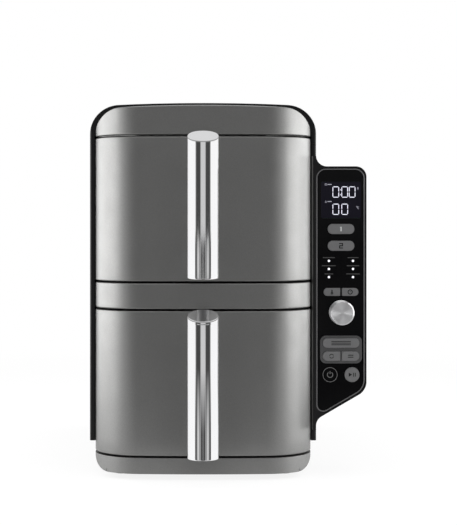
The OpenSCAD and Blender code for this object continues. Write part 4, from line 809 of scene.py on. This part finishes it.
# The same with the narrow uprights that the floor shows close by and far off
UPRIGHTS = ((0, 0.30), (2, 0.06), (7, 0.06), (9, 0.30), (17, 0.36), (19, 0.70), (23, 0.70), (25, 0.34),
            (28, 0.30), (30, 0.06), (37, 0.06), (40, 1.0), (112, 1.0), (140, 0.7), (180, 0.7))
UPRIGHTS_NEAR = (0.4, 1.2)  # metres over which they fade out,
UPRIGHTS_FAR = (3.5, 5.5)   # and come back
DIM_GLOW = 0.28             # between the room's walls and its roof
DIM_FROM = (0.12, 0.22)     # rise of a direction over which the walls fade into that
ROOF_GLOW = 0.72
ROOF_FROM = (0.74, 0.84)    # and the roof begins,
ROOF_LEAN = 0.22            # lower down towards the back
PLAIN_LEVEL = 0.60          # what lights matt surfaces from all round
FLOOR_REACH = 20.0
FLOOR_GREY = 0.86
FLOOR_WHITE = (0.86, 1.0)   # share of plain white in the floor, near the object and far from it
FLOOR_FADE = (0.5, 1.6)     # metres over which it changes
SIDE_BOX = ((1.155, 1.0), 12.0)     # width and height in metres, and watts
SIDE_REACH = 0.8            # from the body's middle line
SIDE_BEHIND = 0.17          # of the side boxes' middles, behind the crown of the fronts
SIDE_Z = 0.50
TOP_BOX = ((1.4, 1.2), 9.0)
TOP_BEFORE, TOP_Z = 0.25, 1.7       # its middle, before the crown of the fronts
TOP_AIM_BEHIND, TOP_AIM_Z = 0.2, 0.2        # what it is turned to, behind the crown
WING_INSIDE = 0.004         # how far inside the side panel's outer face pieces of the wing may begin


def plain(value):
    """A grey, from one linear value."""
    return (value, value, value, 1)


def room(graph, direction, table=ROOM):
    """The room's brightness towards a direction: a ramp over its angle from -Y, the same on both sides."""
    axes = graph.node("ShaderNodeSeparateXYZ", {"Vector": direction}).outputs
    ahead = graph.math("MULTIPLY", axes["Y"], -1.0)
    angle = graph.math("ARCTAN2", graph.math("ABSOLUTE", axes["X"]), ahead)
    ramp = graph.node("ShaderNodeValToRGB", {"Fac": graph.math("DIVIDE", angle, math.pi)})
    elements = ramp.color_ramp.elements
    elements[0].color, elements[1].color = plain(table[0][1]), plain(table[-1][1])
    for degrees, value in table[1:-1]:
        elements.new(degrees / 180).color = plain(value)
    return ramp.outputs["Color"], axes


def floor():
    """A pale floor that keeps the object's shadow. Seen by polished pieces it carries on the room."""
    bar_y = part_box("upper_handle")[0].y + BAR_SIZE[1] / 2
    corners = [(x * FLOOR_REACH, y * FLOOR_REACH, 0) for x, y in ((-1, -1), (1, -1), (1, 1), (-1, 1))]
    mesh = bpy.data.meshes.new("floor")
    mesh.from_pydata(corners, [], [(0, 1, 2, 3)])
    made = bpy.data.objects.new("floor", mesh)
    bpy.context.scene.collection.objects.link(made)
    made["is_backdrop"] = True
    material = bpy.data.materials.new("floor_pale")
    material.use_nodes = True
    graph = Nodes(material.node_tree)
    graph.tree.nodes.remove(graph.tree.nodes["Principled BSDF"])
    place = graph.node("ShaderNodeTexCoord").outputs["Object"]
    from_bars = {"Vector": place, "Location": (-body_x, -bar_y, 0)}
    centred = graph.node("ShaderNodeMapping", from_bars).outputs["Vector"]
    far_off = graph.node("ShaderNodeVectorMath", {0: centred}, operation="LENGTH").outputs["Value"]
    out, back = (graph.spread(far_off, 0, 1, *fade) for fade in (UPRIGHTS_NEAR, UPRIGHTS_FAR))
    faded = graph.math("SUBTRACT", out, back)
    seen = graph.blend(faded, room(graph, centred, UPRIGHTS)[0], room(graph, centred)[0])
    white = graph.spread(far_off, *FLOOR_WHITE, *FLOOR_FADE)
    path = graph.node("ShaderNodeLightPath").outputs
    glow = graph.node("ShaderNodeEmission", {"Color": graph.blend(path["Is Glossy Ray"], plain(1), seen)})
    matt = graph.node("ShaderNodeBsdfDiffuse", {"Color": plain(FLOOR_GREY)})
    share = graph.math("ADD", graph.math("MULTIPLY", path["Is Camera Ray"], white), path["Is Glossy Ray"])
    both = graph.node("ShaderNodeMixShader", {0: share, 1: matt.outputs[0], 2: glow.outputs[0]})
    graph.tree.links.new(both.outputs[0], graph.tree.nodes["Material Output"].inputs["Surface"])
    mesh.materials.append(material)


def surroundings():
    """The world: white behind the object, the room in reflections, and a plain level for the light itself."""
    world = bpy.data.worlds.new("studio")
    bpy.context.scene.world = world
    world.use_nodes = True
    graph = Nodes(world.node_tree)
    polished, axes = room(graph, graph.node("ShaderNodeTexCoord").outputs["Generated"])
    leaning = graph.math("ADD", axes["Z"], graph.math("MULTIPLY", axes["Y"], ROOF_LEAN))
    for rise, start_to_end, glow in ((axes["Z"], DIM_FROM, DIM_GLOW), (leaning, ROOF_FROM, ROOF_GLOW)):
        polished = graph.blend(graph.spread(rise, 0, 1, *start_to_end), polished, plain(glow))
    path = graph.node("ShaderNodeLightPath").outputs
    lit_by = graph.blend(path["Is Glossy Ray"], plain(PLAIN_LEVEL), polished)
    colour = graph.blend(path["Is Camera Ray"], lit_by, plain(1))
    background = graph.tree.nodes["Background"]
    graph.tree.links.new(colour, background.inputs["Color"])
    background.inputs["Strength"].default_value = 1.0


def lamp(name, place, size, watts, aim):
    """A soft box at place, width and height size, turned to aim."""
    light = bpy.data.lights.new(name, "AREA")
    light.shape = "RECTANGLE"
    light.size, light.size_y = size
    light.energy = watts
    made = bpy.data.objects.new(name, light)
    made.location = place
    made.rotation_euler = (Vector(aim) - Vector(place)).to_track_quat("-Z", "Y").to_euler()
    made.visible_camera = False
    bpy.context.scene.collection.objects.link(made)
    return made


def left_out(name, members):
    """A light-linking list of objects that a lamp does without; all others stay as they are."""
    listed = bpy.data.collections.new(name)
    for member in members:
        listed.objects.link(member)
    for entry in listed.collection_objects:
        entry.light_linking.link_state = "EXCLUDE"
    return listed


def studio():
    """The floor, the room, a soft box on each side and one overhead. The chrome shows the room and not the
    boxes, the dial not the left one, and the control wing throws no shadow of the right one on the fronts."""
    floor()
    surroundings()
    wing_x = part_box("right_side_panel")[1].x - WING_INSIDE
    bars = [bpy.data.objects[f"{level}_handle_bar"] for level in LEVELS]
    wing = [nodes["wing_housing"]] + [made for made in bpy.data.objects if made.type == "MESH"
                                      and min(corner[0] for corner in made.bound_box) > wing_x]
    side_y = crown_y + SIDE_BEHIND
    boxes = [lamp(name, (body_x + side * SIDE_REACH, side_y, SIDE_Z), *SIDE_BOX, (body_x, side_y, SIDE_Z))
             for name, side in (("box_left", -1), ("box_right", 1))]
    boxes.append(lamp("box_top", (body_x, crown_y - TOP_BEFORE, TOP_Z), *TOP_BOX,
                      (body_x, crown_y + TOP_AIM_BEHIND, TOP_AIM_Z)))
    for box, members in zip(boxes, (bars + [bpy.data.objects["dial_cap"]], bars, bars)):
        box.light_linking.receiver_collection = left_out(f"not_lit_by_{box.name}", members)
    boxes[1].light_linking.blocker_collection = left_out("clear_of_box_right", dict.fromkeys(wing))


studio()
bpy.context.scene.view_settings.view_transform = "Standard"

low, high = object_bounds()
